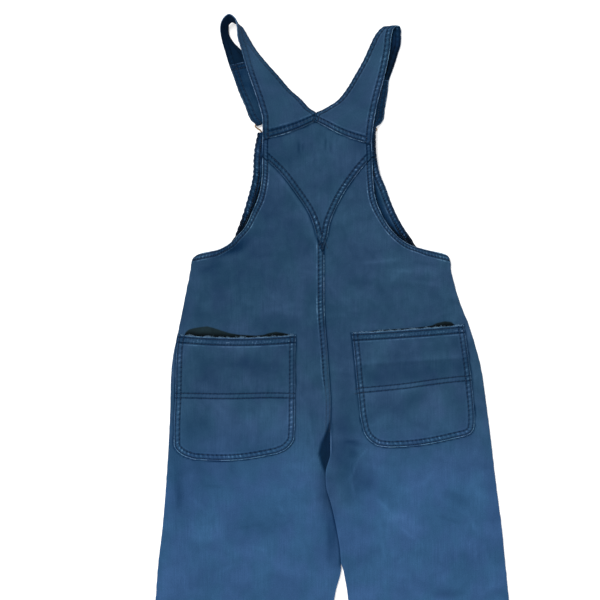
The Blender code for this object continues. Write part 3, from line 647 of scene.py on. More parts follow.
def back_underside(side, x, y):
    """Height of the back's underside: level, higher over the hardware, and down at the side seams."""
    height = LIE + BACK_LIFT * pile(x, y) + folded(x, y, FOLDS, 0)
    armpit_y = next(p.y for p in side.outer if p.level == ARMPIT_LEVEL)
    sewn = fall(y, armpit_y - 14, 14)
    beside = 1 - sewn * fall(np.abs(x - line_x(side.outer, y)), 0, ROLL)
    leg = fall(y, (GAP_TOP_Y if side is RIGHT else CROTCH_Y) - 30, 30)
    inside = 1 - leg * fall(np.abs(x - line_x(side.seam, y)), 0, ROLL)
    return np.maximum(SEAM_HEIGHT + (height - SEAM_HEIGHT) * beside * inside, SEAM_HEIGHT)


def pucker_wave(cloth, away, along):
    """A seam's puckers as a wave along it, slanting, with a spacing that drifts: sin(k u + drift)."""
    phase = 2 * math.pi * (along + SLANT * away) / (cloth.pucker_pitch / MM)
    return np.sin(phase + 1.6 * np.sin(along / 37) + 1.1 * np.sin(along / 15 + 1))


def sewn_relief(cloth, away, along, lift=1):
    """Relief of a turned or lapped edge with two rows of stitches, at a distance from that edge.

    It is a low step that ends at the band's width, with a rounded edge, a narrow groove at each
    row, and slanting puckers between the rows, uneven in height and spacing.
    """
    step = cloth.fold_rise / MM * lift * fall(away, BAND - 1.2, 1.6)
    edge = -0.45 * fall(away, 0, 1.3)
    grooves = -0.26 * (bell(away, FIRST_ROW, 0.9) + bell(away, SECOND_ROW, 0.9))
    uneven = 0.62 + 0.38 * np.sin(along / 21 + 2 * np.sin(along / 53))
    middle, half = (FIRST_ROW + SECOND_ROW) / 2, (SECOND_ROW - FIRST_ROW) / 2
    between = np.exp(-(((away - middle) / half) ** 4))
    puckers = cloth.pucker_rise / MM * uneven * pucker_wave(cloth, away, along) * between
    return step + edge + grooves + puckers


def slack(cloth, x, y):
    """The slight unevenness of cloth that lies loose."""
    return cloth.drift / MM * (0.6 * ripple(x, y, 62, 5) + 0.4 * ripple(x, y, 27, 11))


def columns(start, end, count, fine=9):
    """Rows of points from start to end, evenly spaced but for a few close together at both ends.

    The first few steps grow from a third of a millimetre, and shrink with a row that is narrow.
    """
    width = np.linalg.norm(end - start, axis=1)
    ends = np.array([0, 0.35, 0.8, 1.4, 2.2, 3.2, 4.6, 6.4, 8.4, 10.6])[: fine + 1]
    scale = np.minimum(1, width / (4 * ends[-1]))
    near = ends[None, :] * scale[:, None] / width[:, None]
    inner = np.linspace(0, 1, count - 2 * fine)[None, 1:-1]
    middle = near[:, -1:] + (1 - 2 * near[:, -1:]) * inner
    share = np.concatenate([near, middle, 1 - near[:, ::-1]], axis=1)[:, :, None]
    return start[:, None, :] * (1 - share) + end[:, None, :] * share


# --- Meshes ---------------------------------------------------------------------------------------


def mesh_object(name, points, faces, materials):
    """An object from points in millimetres and faces, at the origin, riding on the garment."""
    mesh = bpy.data.meshes.new(name)
    mesh.from_pydata((points * MM).tolist(), [], faces)
    for made in materials:
        mesh.materials.append(made)
    piece = bpy.data.objects.new(name, mesh)
    bpy.context.scene.collection.objects.link(piece)
    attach(piece, BODY)
    return piece


def outwards(mesh):
    """Turns a closed mesh's faces outwards and shades it smooth but for its sharp edges."""
    bm = bmesh.new()
    bm.from_mesh(mesh)
    bmesh.ops.recalc_face_normals(bm, faces=bm.faces)
    bm.to_mesh(mesh)
    bm.free()
    mesh.shade_smooth()
    mesh.set_sharp_from_angle(angle=math.radians(55))


def shell(name, upper, lower, fields, materials):
    """A closed piece of cloth between two grids of points, with a rim along all four edges.

    Each field gives a value or a vector for each point of the grid, and both faces carry it. The
    lower face takes the second material where there are two.
    """
    rows, across = upper.shape[:2]
    count = rows * across
    number = np.arange(count).reshape(rows, across)
    a, b, c, d = number[:-1, :-1], number[:-1, 1:], number[1:, 1:], number[1:, :-1]
    high = np.stack([a, b, c, d], axis=-1).reshape(-1, 4)
    low = np.stack([a, d, c, b], axis=-1).reshape(-1, 4) + count
    loop = np.concatenate([number[0], number[1:, -1], number[-1, -2::-1], number[-2:0:-1, 0]])
    after = np.roll(loop, -1)
    rim = np.stack([loop, loop + count, after + count, after], axis=-1)
    points = np.concatenate([upper.reshape(-1, 3), lower.reshape(-1, 3)])
    piece = mesh_object(name, points, np.concatenate([high, low, rim]).tolist(), materials)
    mesh = piece.data
    if len(materials) > 1:
        which = np.zeros(len(mesh.polygons), np.int32)
        which[len(high) : len(high) + len(low)] = 1
        mesh.polygons.foreach_set("material_index", which)
    for key, values in fields.items():
        kind, slot = ("FLOAT_VECTOR", "vector") if values.ndim == 3 else ("FLOAT", "value")
        made = mesh.attributes.new(key, kind, "POINT")
        made.data.foreach_set(slot, np.tile(values.reshape(-1), 2).astype(np.float32))
    outwards(mesh)
    return piece


def weave(x, y):
    """Cloth coordinates in metres: across the warp, then along it."""
    return np.dstack([x * MM, y * MM, np.zeros_like(x)])


def spread(name, x, y, top, bottom, fields, materials):
    """A lying piece of cloth, whose faces are two heights over one grid of places."""
    fields = {"weave": weave(x, y), **fields}
    return shell(name, np.dstack([x, y, top]), np.dstack([x, y, bottom]), fields, materials)


def field(away, along, strength=1):
    """A sewn edge's own coordinates for the cloth's shader: distance, place along it, strength."""
    return np.dstack([away, along, strength * np.ones_like(away)])


def painted_contact_shadow(away):
    """Painted shadow beside the edge of an upper piece: a thin dark line close to it."""
    return -0.34 * bell(away, 0.8, 0.9)


def tubes(name, rings, material):
    """Closed tubes as one mesh, from an array of tubes, their rings and the rings' corners."""
    count, rows, corners = rings.shape[:3]
    ring = np.arange(corners)
    after = np.roll(ring, -1)
    sides = np.stack([ring, after, after + corners, ring + corners], axis=-1)
    sides = np.concatenate([sides + corners * k for k in range(rows - 1)])
    caps = np.stack([ring[::-1], ring + corners * (rows - 1)])
    start = rows * corners * np.arange(count)[:, None, None]
    faces = [f for kind in (sides, caps) for f in (kind + start).reshape(-1, kind.shape[1]).tolist()]
    piece = mesh_object(name, rings.reshape(-1, 3), faces, [material])
    outwards(piece.data)


def lying(points, height):
    """A path on a lying piece and its normals, from the piece's own height function."""
    x, y = points[:, 0], points[:, 1]
    step = 0.5
    slope_x = (height(x + step, y) - height(x - step, y)) / (2 * step)
    slope_y = (height(x, y + step) - height(x, y - step)) / (2 * step)
    normal = np.column_stack([-slope_x, -slope_y, np.ones(len(x))])
    return np.column_stack([x, y, height(x, y)]), normal


def sew(name, cloth, paths):
    """Rows of stitches along paths, each of which comes with the cloth's normals.

    A stitch is a four-sided spindle on the cloth that dips into it at both ends. Four rings of four
    points make it, all stitches of all paths as one array.
    """
    pitch, radius = cloth.stitch_pitch / MM, cloth.thread_radius / MM
    stitch = STITCHED_SHARE * pitch * np.array([0, 0.22, 0.78, 1])
    centres, normals = [], []
    for path, normal in paths:
        run = travel(path)
        start = (np.arange(int(run[-1] / pitch)) + 0.12) * pitch
        centres.append(picked(start[:, None] + stitch, run, path))
        normals.append(picked(start[:, None] + stitch, run, normal))
    centre, up = np.concatenate(centres), unit(np.concatenate(normals))
    ahead = centre[:, -1:] - centre[:, :1]
    side = unit(np.cross(np.broadcast_to(ahead, up.shape), up))
    centre = centre + up * radius * np.array([-0.6, 0.55, 0.55, -0.6])[:, None]
    width = radius * np.array([0.5, 1, 1, 0.5])[:, None, None]
    turn = np.radians([45, 135, 225, 315])
    spoke = side[:, :, None] * np.cos(turn)[:, None] + up[:, :, None] * np.sin(turn)[:, None]
    thread = bpy.data.materials.get("denim_thread") or thread_material(cloth)
    tubes(name, centre[:, :, None] + spoke * width, thread)


def sew_lying(name, cloth, height, paths):
    """The same on a lying piece, from its height function and the (x, y) of each path."""
    sew(name, cloth, [lying(path, height) for path in paths])


# --- Materials ------------------------------------------------------------------------------------


class Tree:
    """Short ways to add the nodes of a material."""

    def __init__(self, name):
        self.material = bpy.data.materials.new(name)
        self.material.use_nodes = True
        self.nodes = self.material.node_tree.nodes

    def feed(self, node, inputs):
        """Links sockets to a node's inputs, and writes plain values into them."""
        for key, value in inputs.items():
            if isinstance(value, bpy.types.NodeSocket):
                self.material.node_tree.links.new(value, node.inputs[key])
            else:
                node.inputs[key].default_value = value
        return node

    def add(self, kind, inputs, **settings):
        node = self.nodes.new(kind)
        for key, value in settings.items():
            setattr(node, key, value)
        return self.feed(node, inputs)

    def surface(self, inputs):
        self.feed(self.nodes["Principled BSDF"], inputs)
        return self.material

    def math(self, operation, a, b=0, c=0):
        return self.add("ShaderNodeMath", {0: a, 1: b, 2: c}, operation=operation).outputs[0]

    def total(self, first, *others):
        for other in others:
            first = self.math("ADD", first, other)
        return first

    def product(self, first, *others):
        for other in others:
            first = self.math("MULTIPLY", first, other)
        return first

    def linear(self, value, slope, offset):
        return self.math("MULTIPLY_ADD", value, slope, offset)

    def swing(self, value, reach):
        """A value from 0 to 1 as a swing about zero that is so wide from end to end."""
        return self.linear(value, reach, -reach / 2)

    def bell(self, value, centre, width):
        """exp(-((value - centre) / width)^2)"""
        offset = self.product(self.math("SUBTRACT", value, centre), 1 / width)
        return self.math("EXPONENT", self.product(offset, offset, -1))

    def span(self, value, low, high, start=0, end=1):
        inputs = {"Value": value, 1: low, 2: high, 3: start, 4: end}
        return self.add("ShaderNodeMapRange", inputs, interpolation_type="SMOOTHSTEP").outputs[0]

    def attribute(self, name, output="Fac"):
        return self.add("ShaderNodeAttribute", {}, attribute_name=name).outputs[output]

    def place(self):
        return self.add("ShaderNodeTexCoord", {}).outputs["Object"]

    def scaled(self, vector, scale, turn=0):
        scale = scale if isinstance(scale, tuple) else (scale, scale, scale)
        inputs = {"Vector": vector, "Scale": scale, "Rotation": (0, 0, math.radians(turn))}
        return self.add("ShaderNodeMapping", inputs).outputs[0]

    def noise(self, vector, scale, detail=2, rough=0.5, distortion=0, turn=0):
        inputs = {"Vector": self.scaled(vector, scale, turn), "Scale": 1, "Detail": detail}
        inputs |= {"Roughness": rough, "Distortion": distortion}
        return self.add("ShaderNodeTexNoise", inputs).outputs["Fac"]

    def mixed(self, share, first, second, blend="MIX"):
        """A colour from first, at share 0, to second, at share 1."""
        first, second = (c if isinstance(c, bpy.types.NodeSocket) else (*c, 1) for c in (first, second))
        inputs = {0: share, 6: first, 7: second}
        return self.add("ShaderNodeMix", inputs, data_type="RGBA", blend_type=blend).outputs[2]

    def bump(self, height, strength, distance):
        inputs = {"Height": height, "Strength": strength, "Distance": distance * MM}
        return self.add("ShaderNodeBump", inputs).outputs[0]


def times(tint, amount):
    """A colour made brighter or darker."""
    return tuple(min(1, amount * c) for c in tint)


def sewn_shade(tree, band):
    """How a sewn edge changes the shade, from its field: distance, place along it and strength.

    Each row of stitches is a thin dark line, uneven in depth, and the second is broken into beads by
    the pucker wave. Between the rows, pale dots follow the crests of that wave, mixed with irregular
    flecks: worn cloth and painted highlight on the puckers, with painted shade in the wave's troughs.
    The edge itself is worn pale in places, and the ridge beyond the band is worn pale and carries a
    painted highlight. The worn attribute adds to the edge's wear, and where the plain attribute is 1
    there are no dots and no ridge.
    """
    coordinates = tree.attribute(band.field, "Vector")
    away, along, strength = tree.add("ShaderNodeSeparateXYZ", {0: coordinates}).outputs
    flat = tree.add("ShaderNodeCombineXYZ", {"X": along, "Y": away}).outputs[0]
    first, second = band.rows
    middle, half = (first + second) / 2, (second - first) / 2
    wave = tree.math("SINE", tree.total(
        tree.product(tree.linear(away, 0.35, along), 2 * math.pi / band.pitch),
        tree.product(tree.math("SINE", tree.product(along, 1 / 37)), 1.6),
        tree.product(tree.math("SINE", tree.linear(along, 1 / 15, 1)), 1.1),
        tree.product(tree.noise(flat, (0.11, 0, 1)), 5),
    ))
    broken = tree.noise(flat, 0.30)
    depth = tree.span(broken, 0.32, 0.68, -0.6 * band.row, -1.35 * band.row)
    beads = tree.span(wave, -0.5, 0.7, 1 + 0.6 * band.regular, 1 - 0.75 * band.regular)
    uneven = tree.product(
        tree.span(tree.noise(flat, 0.045), 0.34, 0.62, 0.30, 1.2), tree.span(broken, 0.34, 0.62, 0.35, 1.2)
    )
    shown = tree.linear(tree.attribute("plain"), -1, 1)
    crest = tree.span(wave, 0.2, 0.95, 0, band.regular)
    flecks = tree.span(tree.noise(flat, 0.5), 0.5, 0.64, 0, 1 - band.regular)
    centre = tree.linear(tree.noise(flat, (0.16, 0, 1), 1), 3, middle - 1.1)
    near_centre = tree.bell(tree.math("SUBTRACT", away, centre), 0, 0.46 * half)
    window = tree.product(tree.span(away, 0.4, first), tree.span(away, second, second + 2.2, 1, 0))
    trough = tree.span(wave, -1, -0.2, 1, 0)
    worn = tree.linear(tree.attribute("worn"), band.edge, band.edge)
    return tree.product(strength, tree.total(
        tree.product(tree.bell(away, first, 0.95), depth),
        tree.product(tree.bell(away, second, 1.1), depth, beads),
        # Dark ground, with painted shade in the pucker wave's troughs.
        tree.product(window, tree.linear(trough, -0.05, -band.base)),
        # Pale dots: worn cloth with a painted highlight on the pucker crests.
        tree.product(tree.total(crest, flecks), near_centre, uneven, shown, band.dots),
        tree.product(tree.bell(away, 0, 0.85), uneven, worn),
        # Pale ridge beyond the band: worn cloth with a painted highlight.
        tree.product(tree.bell(away, second + 2.8, 0.85), uneven, shown, band.ridge),
    ))


def denim_material(name, cloth, bands=(), warp=0, mottle=1, darkest=0.13, deepen=1, gapes=False):
    """Washed denim twill. The shade is a sum, and a ramp from unworn to worn turns it into a colour.

    The piece's own shade attribute gives the wash, with the painted shade and highlight placed in it.
    To it are added cloudy patches of two sizes, thin streaks along the warp, pale flecks, the diagonal
    of the twill, and each sewn edge's wear with its painted highlight and shade. The sum is held above
    the darkest shade and multiplied by deepen. Where gapes is set, cloth inside the outlines of the
    unfaded attribute takes the gape's colour: unfaded cloth in painted shade, darkest along
    the mouth.
    """
    tree = Tree(name)
    at = tree.attribute("weave", "Vector")
    coarse = tree.noise(at, (13, 20, 1), 1.6, 0.5, 0.8, 38)
    clouds = tree.noise(at, (70, 50, 1), 3, 0.6, 0.4, -24)
    streaks = tree.noise(at, (560, 24, 1), 3, 0.65, turn=warp)
    grain = tree.noise(at, (800, 560, 1), 2, 0.6, turn=warp)
    flecks = tree.span(tree.noise(at, (420, 260, 1), turn=warp), 0.67, 0.77)
    wave = {"Vector": tree.scaled(at, 1, warp + 27), "Scale": 360, "Distortion": 0.35, "Detail": 1}
    twill = tree.add("ShaderNodeTexWave", wave, bands_direction="X").outputs["Fac"]
    leg = tree.attribute("leg")
    calmer = tree.linear(leg, -0.40 * mottle, mottle)
    shade = tree.total(
        tree.attribute("shade"),
        tree.product(tree.swing(coarse, 0.34), calmer),
        tree.product(tree.swing(clouds, 0.20), calmer),
        tree.product(tree.swing(streaks, 0.20), tree.span(coarse, 0.35, 0.65, 0.3)),
        tree.swing(grain, 0.22),
        tree.product(flecks, tree.linear(leg, -0.08, 0.11)),
        tree.swing(twill, 0.08),
        *(sewn_shade(tree, band) for band in bands),
    )
    shade = tree.product(tree.math("MAXIMUM", shade, darkest), deepen)
    ramp = tree.add("ShaderNodeValToRGB", {"Fac": shade})
    stops = [
        (0, cloth.deepest), (0.25, cloth.inside), (0.5, cloth.body), (0.65, cloth.faded),
        (0.79, cloth.pale), (1, cloth.worn),
    ]
    elements = ramp.color_ramp.elements
    while len(elements) < len(stops):
        elements.new(0.5)
    for element, (place, tint) in zip(elements, stops):
        element.position = place
        element.color = (*tint, 1)
    tone = tree.span(tree.noise(at, (22, 16, 1), turn=61), 0.38, 0.62)
    tints = tree.mixed(tone, (0.94, 1.02, 0.98), (1.05, 0.985, 1.02))
    tints = tree.mixed(1, tints, tree.mixed(leg, (1, 1, 1), cloth.leg_tint), "MULTIPLY")
    base = tree.mixed(1, ramp.outputs["Color"], tints, "MULTIPLY")
    if gapes:
        # Inside the gapes: unfaded cloth in painted shade, darkest along the mouth's edge.
        gape = tree.mixed(clouds, times(cloth.gape, 0.5), times(cloth.gape, 1.9))
        gape = tree.mixed(tree.attribute("deep"), gape, times(cloth.gape, 0.22))
        base = tree.mixed(tree.span(tree.attribute("unfaded"), -0.8, 1.2), base, gape)
    relief = tree.total(
        tree.product(twill, 0.10), tree.product(grain, 0.22),
        tree.product(streaks, 0.16), tree.product(clouds, 0.9),
    )
    return tree.surface({
        "Base Color": base, "Roughness": cloth.roughness, "Specular IOR Level": 0.04,
        "Normal": tree.bump(relief, 0.55, 0.9),
    })


def thread_material(cloth):
    """Tonal cotton thread, twisted: fine diagonal bands in its relief."""
    tree = Tree("denim_thread")
    wave = {"Vector": tree.place(), "Scale": 900, "Distortion": 1}
    twist = tree.add("ShaderNodeTexWave", wave).outputs["Fac"]
    base = tree.mixed(tree.noise(tree.place(), 60), cloth.thread, cloth.inside)
    return tree.surface({"Base Color": base, "Roughness": 0.75, "Normal": tree.bump(twist, 0.4, 0.1)})


def fray_material(cloth):
    """Bare cotton ends of the weft, pale blue and uneven."""
    tree = Tree("frayed_cotton")
    base = tree.mixed(tree.noise(tree.place(), 220), cloth.worn, times(cloth.worn, 1.6))
    return tree.surface({"Base Color": base, "Roughness": 0.95})


def brass_material(hardware):
    """Worn satin brass: duller and browner in small clouds, with fine scratches in its relief."""
    tree = Tree("worn_brass")
    at = tree.place()
    clouds = tree.noise(at, 160, 4, 0.6)
    base = tree.mixed(tree.span(clouds, 0.45, 0.7), hardware.brass, times(hardware.brass, 0.55))
    rough = tree.span(clouds, 0.35, 0.75, 0.8 * hardware.roughness, 1.5 * hardware.roughness)
    scratches = tree.noise(at, (3000, 260, 900), turn=33)
    return tree.surface({
        "Base Color": base, "Metallic": 1, "Roughness": rough,
        "Normal": tree.bump(scratches, 0.15, 0.05),
    })


# --- The back -------------------------------------------------------------------------------------


def wash(x, y):
    """Shade of the back: by height, a little paler to the wearer's right, with placed patches and streaks,
    some of them painted shade and painted highlight.
    """
    by_height = smooth_grid(y, *zip(*WASH))
    return by_height + 0.016 * rise(x, -60, 120) + patched(x, y, PATCHES) + folded(x, y, STREAKS)


def leg_blue(y):
    """How much of the legs' bluer tint the cloth has: none on the body, all of it on the legs."""
    return rise(-y, -170, 200)


def lap_width(y):
    """How far the left half passes the centre seam over the right one: none at the crotch."""
    return 2.6 * rise(y, 80, 60)


def lapped(y):
    """How much of the centre seam's lap and stitching there is: none at the crotch."""
    return rise(y, LAPPED_FROM_Y, 26)


def seam_scale(y):
    """How much narrower than elsewhere the centre seam's band is: most towards the crotch."""
    return 1 + 0.25 * fall(y, 120, 50)


def hem_scale(x, y):
    """How much narrower the armhole's turned edge is: most in its lower curve, not at its corners."""
    curve = 1 - 0.9 * rise(np.abs(x + 22), 140, 20)
    return 1.1 + 0.35 * fall(y, 370, 60) * curve


def under_width(y):
    """How far the right leg's edge passes over the left leg, below the centre seam."""
    return 2.4 * fall(y, 20, 25) * rise(y, GAP_TOP_Y - 6, 14)


def back_height(cloth, side, x, y):
    """Height of the back's upper face: its solid's, with creases, drift, sewn edges and laps."""
    away, along = nearest(x, y, side.armhole)
    away = away * hem_scale(x, y)
    height = back_underside(side, x, y) + PLY + sewn_relief(cloth, away, along)
    height += rise(away, 0, 16) * (folded(x, y, CREASES) + slack(cloth, x, y))
    seam_x = line_x(side.seam, y)
    if side is LEFT:
        inside = (seam_x + lap_width(y) - x) * seam_scale(y)
        height += lapped(y) * LAP_RISE * fall(inside, 8, 9)
        height += lapped(y) * sewn_relief(cloth, np.maximum(inside, 0), y, 0)
        dip = (1 - lapped(y)) * rise(y, -60, 30) * fall(y, 90, 30)
        height -= 1.5 * dip * fall(seam_x - x, 0, 10)
        height -= 1.3 * rise(within(x, y, CROTCH_RECESS), 0, 5)
    else:
        over = (1 - lapped(y)) * rise(y, GAP_TOP_Y - 30, 30)
        height += 0.7 * over * fall(x - seam_x, 0, 14)
        height -= 0.45 * over * fall(x - seam_x + under_width(y), 0, 1.2)
    hem = y - HEM_Y
    return height + 0.8 * fall(hem, LEG_HEM - 1, 1.5) - 0.25 * bell(hem, LEG_HEM_ROW, 0.9)


def back_levels():
    """Levels of the panels' rows: wide apart on the legs, close together round the armholes."""
    hem = [0, 0.5, 1.2, 3, 6, 9, 10, 10.6, 11.2, 11.8, 12.4, 13, 13.6, 14.6, 17]
    return np.concatenate([
        HEM_Y + np.array(hem), np.linspace(-684, -184, 92), np.linspace(-180, 334, 226),
        np.linspace(335.5, 400, 46), np.linspace(401.5, TIP_LEVEL, 50),
    ])


def back_faces(cloth, side):
    """The grid of one half of the back, its two heights, and the inner edge that the shader goes by.

    The outer edge is slightly uneven. Along the centre seam the left half laps over the right one,
    and below it the right leg's edge passes over the left leg.
    """
    left = side is LEFT
    levels = back_levels()
    low_levels = levels < ARMPIT_LEVEL
    start, end = on_line(side.outer, levels), on_line(side.seam, levels)
    end[:, 0] += np.where(low_levels, lap_width(levels) if left else -under_width(levels), 0)
    start[:, 0] += 0.35 * ripple(start[:, 1], 0 * levels, 15, 3 if left else 8)
    flat = columns(start, end, 100)
    x, y = flat[:, :, 0], flat[:, :, 1]
    top = back_height(cloth, side, x, y)
    top -= 0.55 * fall(np.abs(x - start[:, None, 0]), 0, 1.6) * (levels <= ARMPIT_LEVEL)[:, None]
    bottom = np.minimum(back_underside(side, x, y), top - 0.5)
    if left:
        on = lapped(y) * low_levels[:, None]
        over = end[:, None, 0] - x < LAP + 2
        bottom = np.where(over, bottom * (1 - on) + (top - PLY) * on, bottom)
        # Above the armpits the seam goes on straight, under the yoke.
        end[:, 0] = np.where(levels > ARMPIT_LEVEL, CENTRE[-1].x + lap_width(levels), end[:, 0])
    return x, y, top, bottom, end[:, None, 0]


def back_fields(side, x, y, edge_x):
    """What the shader reads on one half of the back: its wash, its sewn edges and its painted shade."""
    left = side is LEFT
    away, along = nearest(x, y, side.armhole)
    leg_hem = LEG_HEM_SCALE * (y - HEM_Y)
    on_leg = leg_hem < LEG_HEM_REACH
    seam_away = np.abs(edge_x - x)
    sewn = lapped(y) * fall(y, SEAM_END_Y, 6) * (x < -17) if left else 0
    blue = leg_blue(y) * (1 - 0.5 * bell(x, -2, 30) * rise(y, -60, 40))
    edges, levels_up = yoke_edges()
    yoke_away, _ = nearest(x, y, edges[0 if left else 1][levels_up <= TIP_LEVEL])
    # Painted contact shadows on the back beside the pockets' edges and the yoke's lower edge.
    shade = wash(x, y) + painted_contact_shadow(nearest(x, y, pocket_outline(side.pocket))[0]) + painted_contact_shadow(yoke_away)
    if left:
        shade += 0.07 * bell(yoke_away, 5, 3)
        # Painted shadow along the left leg's inner edge near the crotch, where the right leg's edge lies over
        # it.
        low = fall(y, 60, 20) * rise(y, GAP_TOP_Y - 4, 10)
        shade -= low * (0.30 * fall(seam_away, 0, 5) + 0.07 * fall(seam_away, 0, 26))
        # Painted shade in the crotch's recess, without the legs' blue.
        recess = rise(within(x, y, CROTCH_RECESS), -2.6, 4.6)
        shade += (0.13 - shade) * recess
        blue *= 1 - recess
    else:
        # Painted contact shadow beside the left half's lap over the centre seam.
        shade += lapped(y) * painted_contact_shadow(np.abs(x - line_x(side.seam, y) - lap_width(y)))
        low = fall(y, 88, 12) * rise(y, GAP_TOP_Y - 4, 10)
        clear = rise(y, 42, 12)
        line = (0.05 + 0.25 * clear) * bell(seam_away, 0, 1.3) - 0.14 * clear * bell(seam_away, 3.2, 1.2)
        shade += low * line
    return {
        "hem": field(np.where(on_leg, leg_hem, away * hem_scale(x, y)), np.where(on_leg, x, along)),
        "seam": field(seam_away * seam_scale(y), y, sewn), "shade": shade, "leg": blue,
        "plain": 0.5 * fall(y, 225, 30) * fall(seam_away, 20, 10),
        # Inside the gapes the cloth is unfaded and in painted shade, darkest along the pocket's mouth.
        "unfaded": within(x, y, side.gape),
        "deep": fall(nearest(x, y, mouth_line(side.pocket))[0], 1.5, 8),
    }


def back_panel(cloth, side, material):
    """One half of the back as a shell from its outer line to its seam line."""
    x, y, top, bottom, edge_x = back_faces(cloth, side)
    fields = back_fields(side, x, y, edge_x)
    piece = spread(f"cloth_back_{side.name}", x, y, top, bottom, fields, [material])
    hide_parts(f"back_{side.name}")


def back_stitches(cloth, side):
    """The stitch rows of one half of the back: along its armhole, its lap and its leg hem."""
    armhole = evenly(side.armhole)
    corner = drawn([p for p in side.outer if ARMPIT_LEVEL <= p.level <= 364])
    paths = []
    for row in ROWS:
        line = shifted(armhole, -side.inwards * row / hem_scale(*armhole.T))
        past = (line[:, 0] - np.interp(line[:, 1], corner[:, 1], corner[:, 0])) * side.inwards
        paths.append(line[(past > 1) | (line[:, 1] > 349)])
    if side is LEFT:
        for row, top_y in zip(ROWS, (350, 363)):
            y = np.arange(78, top_y, STITCH_STEP)
            edge = np.column_stack([line_x(side.seam, y) + lap_width(y), y])
            paths.append(shifted(edge, row / seam_scale(y)))
    ends = sorted((side.outer[0].x, side.seam[0].x))
    hem = np.arange(ends[0] + 3, ends[1] - 3, STITCH_STEP)
    paths.append(np.column_stack([hem, np.full(len(hem), HEM_Y + LEG_HEM_ROW)]))
    sew_lying(f"stitches_back_{side.name}", cloth, partial(back_height, cloth, side), paths)


class DUNGAREES_OT_back(bpy.types.Operator):
    """Make the two halves of the back, from the leg hems to the armholes"""

    bl_idname = "dungarees.back"
    bl_label = "Back"

    def execute(self, context):
        cloth = context.scene.dungarees_cloth
        bands = [
            Band("hem", ROWS, 5, 0.56, 0.38, 0.05, 0.85, 0.34, 0.5),
            Band("seam", ROWS, 6.2, 0.50, 0.38, 0.03, 0.70, 0.36, 0.7),
        ]
        material = denim_material("denim_back", cloth, bands, gapes=True)
        for side in SIDES:
            back_panel(cloth, side, material)
            back_stitches(cloth, side)
        return {"FINISHED"}


# --- The yoke -------------------------------------------------------------------------------------


def yoke_lap(levels):
    """How far the yoke passes its curved seams over the back: less towards its lower point."""
    return 0.6 + (LAP - 0.6) * rise(levels, 352, 26)


def yoke_edges():
    """The yoke's left and right edges from its lower point, past its seams, and up the armholes."""
    lower = np.linspace(YOKE_POINT, TIP_LEVEL, 74)
    upper = np.linspace(TIP_LEVEL, YOKE_TOP, 16)[1:]
    edges = []
    for side, out_x in ((LEFT, -3.6), (RIGHT, 2.6)):
        sewn = shifted(on_line(side.v, lower), side.inwards * yoke_lap(lower))
        above = on_line(side.shoulder, upper)
        above[:, 0] += out_x * fall(upper, TIP_LEVEL, 12)
        edges.append(np.vstack([sewn, above]))
    return edges, np.concatenate([lower, upper])


def yoke_seam():
    """The yoke's two curved seams as one line, by way of its lower point."""
    (left, right), levels = yoke_edges()
    low = levels <= TIP_LEVEL
    return np.vstack([left[low][::-1], right[low]])


def yoke_height(cloth, x, y):
    """Height of the yoke's upper face: lapped over the back at its curved seams, hemmed above."""
    away, along = nearest(x, y, yoke_seam())
    height = back_underside(LEFT, x, y) + PLY + slack(cloth, x, y) * rise(away, 0, 16)
    return height + LAP_RISE * fall(away, 8.5, 9) + sewn_relief(cloth, away, along, 0)


def strap_base(side):
    """The lower edge of a strap, where it laps over the yoke, with its sag."""
    first = side.strap[0]
    ends = evenly([(first.left_x, first.left_y), (first.right_x, first.right_y)], 4)
    return shifted(ends, -LAP - side.sag * np.sin(math.pi * np.linspace(0, 1, len(ends))))


def yoke_panel(cloth):
    """The yoke: lapped over the back at its curved seams, with the armholes' turned edges above."""
    (left, right), levels = yoke_edges()
    middle = on_line(YOKE_MIDDLE, levels)
    middle[:, 1] -= 4 * fall(levels, YOKE_POINT, 20)
    flat = np.concatenate([columns(left, middle, 58)[:, :-1], columns(middle, right, 58)], axis=1)
    x, y = flat[:, :, 0], flat[:, :, 1]
    low = levels <= TIP_LEVEL
    seam_away, seam_along = nearest(x, y, yoke_seam())
    holes = [np.vstack([side.armhole, edge[~low]]) for side, edge in zip(SIDES, (left, right))]
    hem_away, hem_along = nearest_of(x, y, holes)
    hem_away = hem_away * hem_scale(x, y)
    top = yoke_height(cloth, x, y) + sewn_relief(cloth, hem_away, hem_along)
    over = seam_away < LAP + 2
    bottom = np.where(over, top - PLY, np.minimum(back_underside(LEFT, x, y), top - PLY))
    # Painted contact shadows under the straps' lower edges.
    shade = wash(x, y) + sum(painted_contact_shadow(nearest(x, y, strap_base(side))[0]) for side in SIDES)
    by_left = nearest(x, y, left[low])[0] < nearest(x, y, right[low])[0]
    worn = np.where(by_left, -0.72, -0.25) * fall(seam_away, 6, 3)
    worn = np.where(seam_away < 6, worn - (1 + worn) * fall(y, 366, 12), worn)
    fields = {
        "hem": field(hem_away, hem_along), "shade": shade, "worn": worn,
        "seam": field(seam_away, seam_along, rise(hem_away, 8.5, 2)),
        "plain": 0.75 * by_left * rise(y, 396, 24) * (hem_away > 9),
    }
    bands = [
        Band("hem", ROWS, 5, 0.60, 0.38, 0.05, 0.85, 0.14, 0.5),
        Band("seam", ROWS, 6.8, 0.66, 0.42, 0.06, 0.65, 0.05, 0.6),
    ]
    material = denim_material("denim_yoke", cloth, bands)
    piece = spread("cloth_yoke", x, y, top, bottom, fields, [material])
    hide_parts("back_yoke")


def yoke_stitches(cloth):
    """Two rows of stitches along each of the yoke's curved seams."""
    edges, levels = yoke_edges()
    paths = []
    for side, edge in zip(SIDES, edges):
        seam = evenly(edge[levels <= TIP_LEVEL - 6])
        paths += [shifted(seam, -side.inwards * row) for row in ROWS]
    sew_lying("stitches_yoke", cloth, partial(yoke_height, cloth), paths)


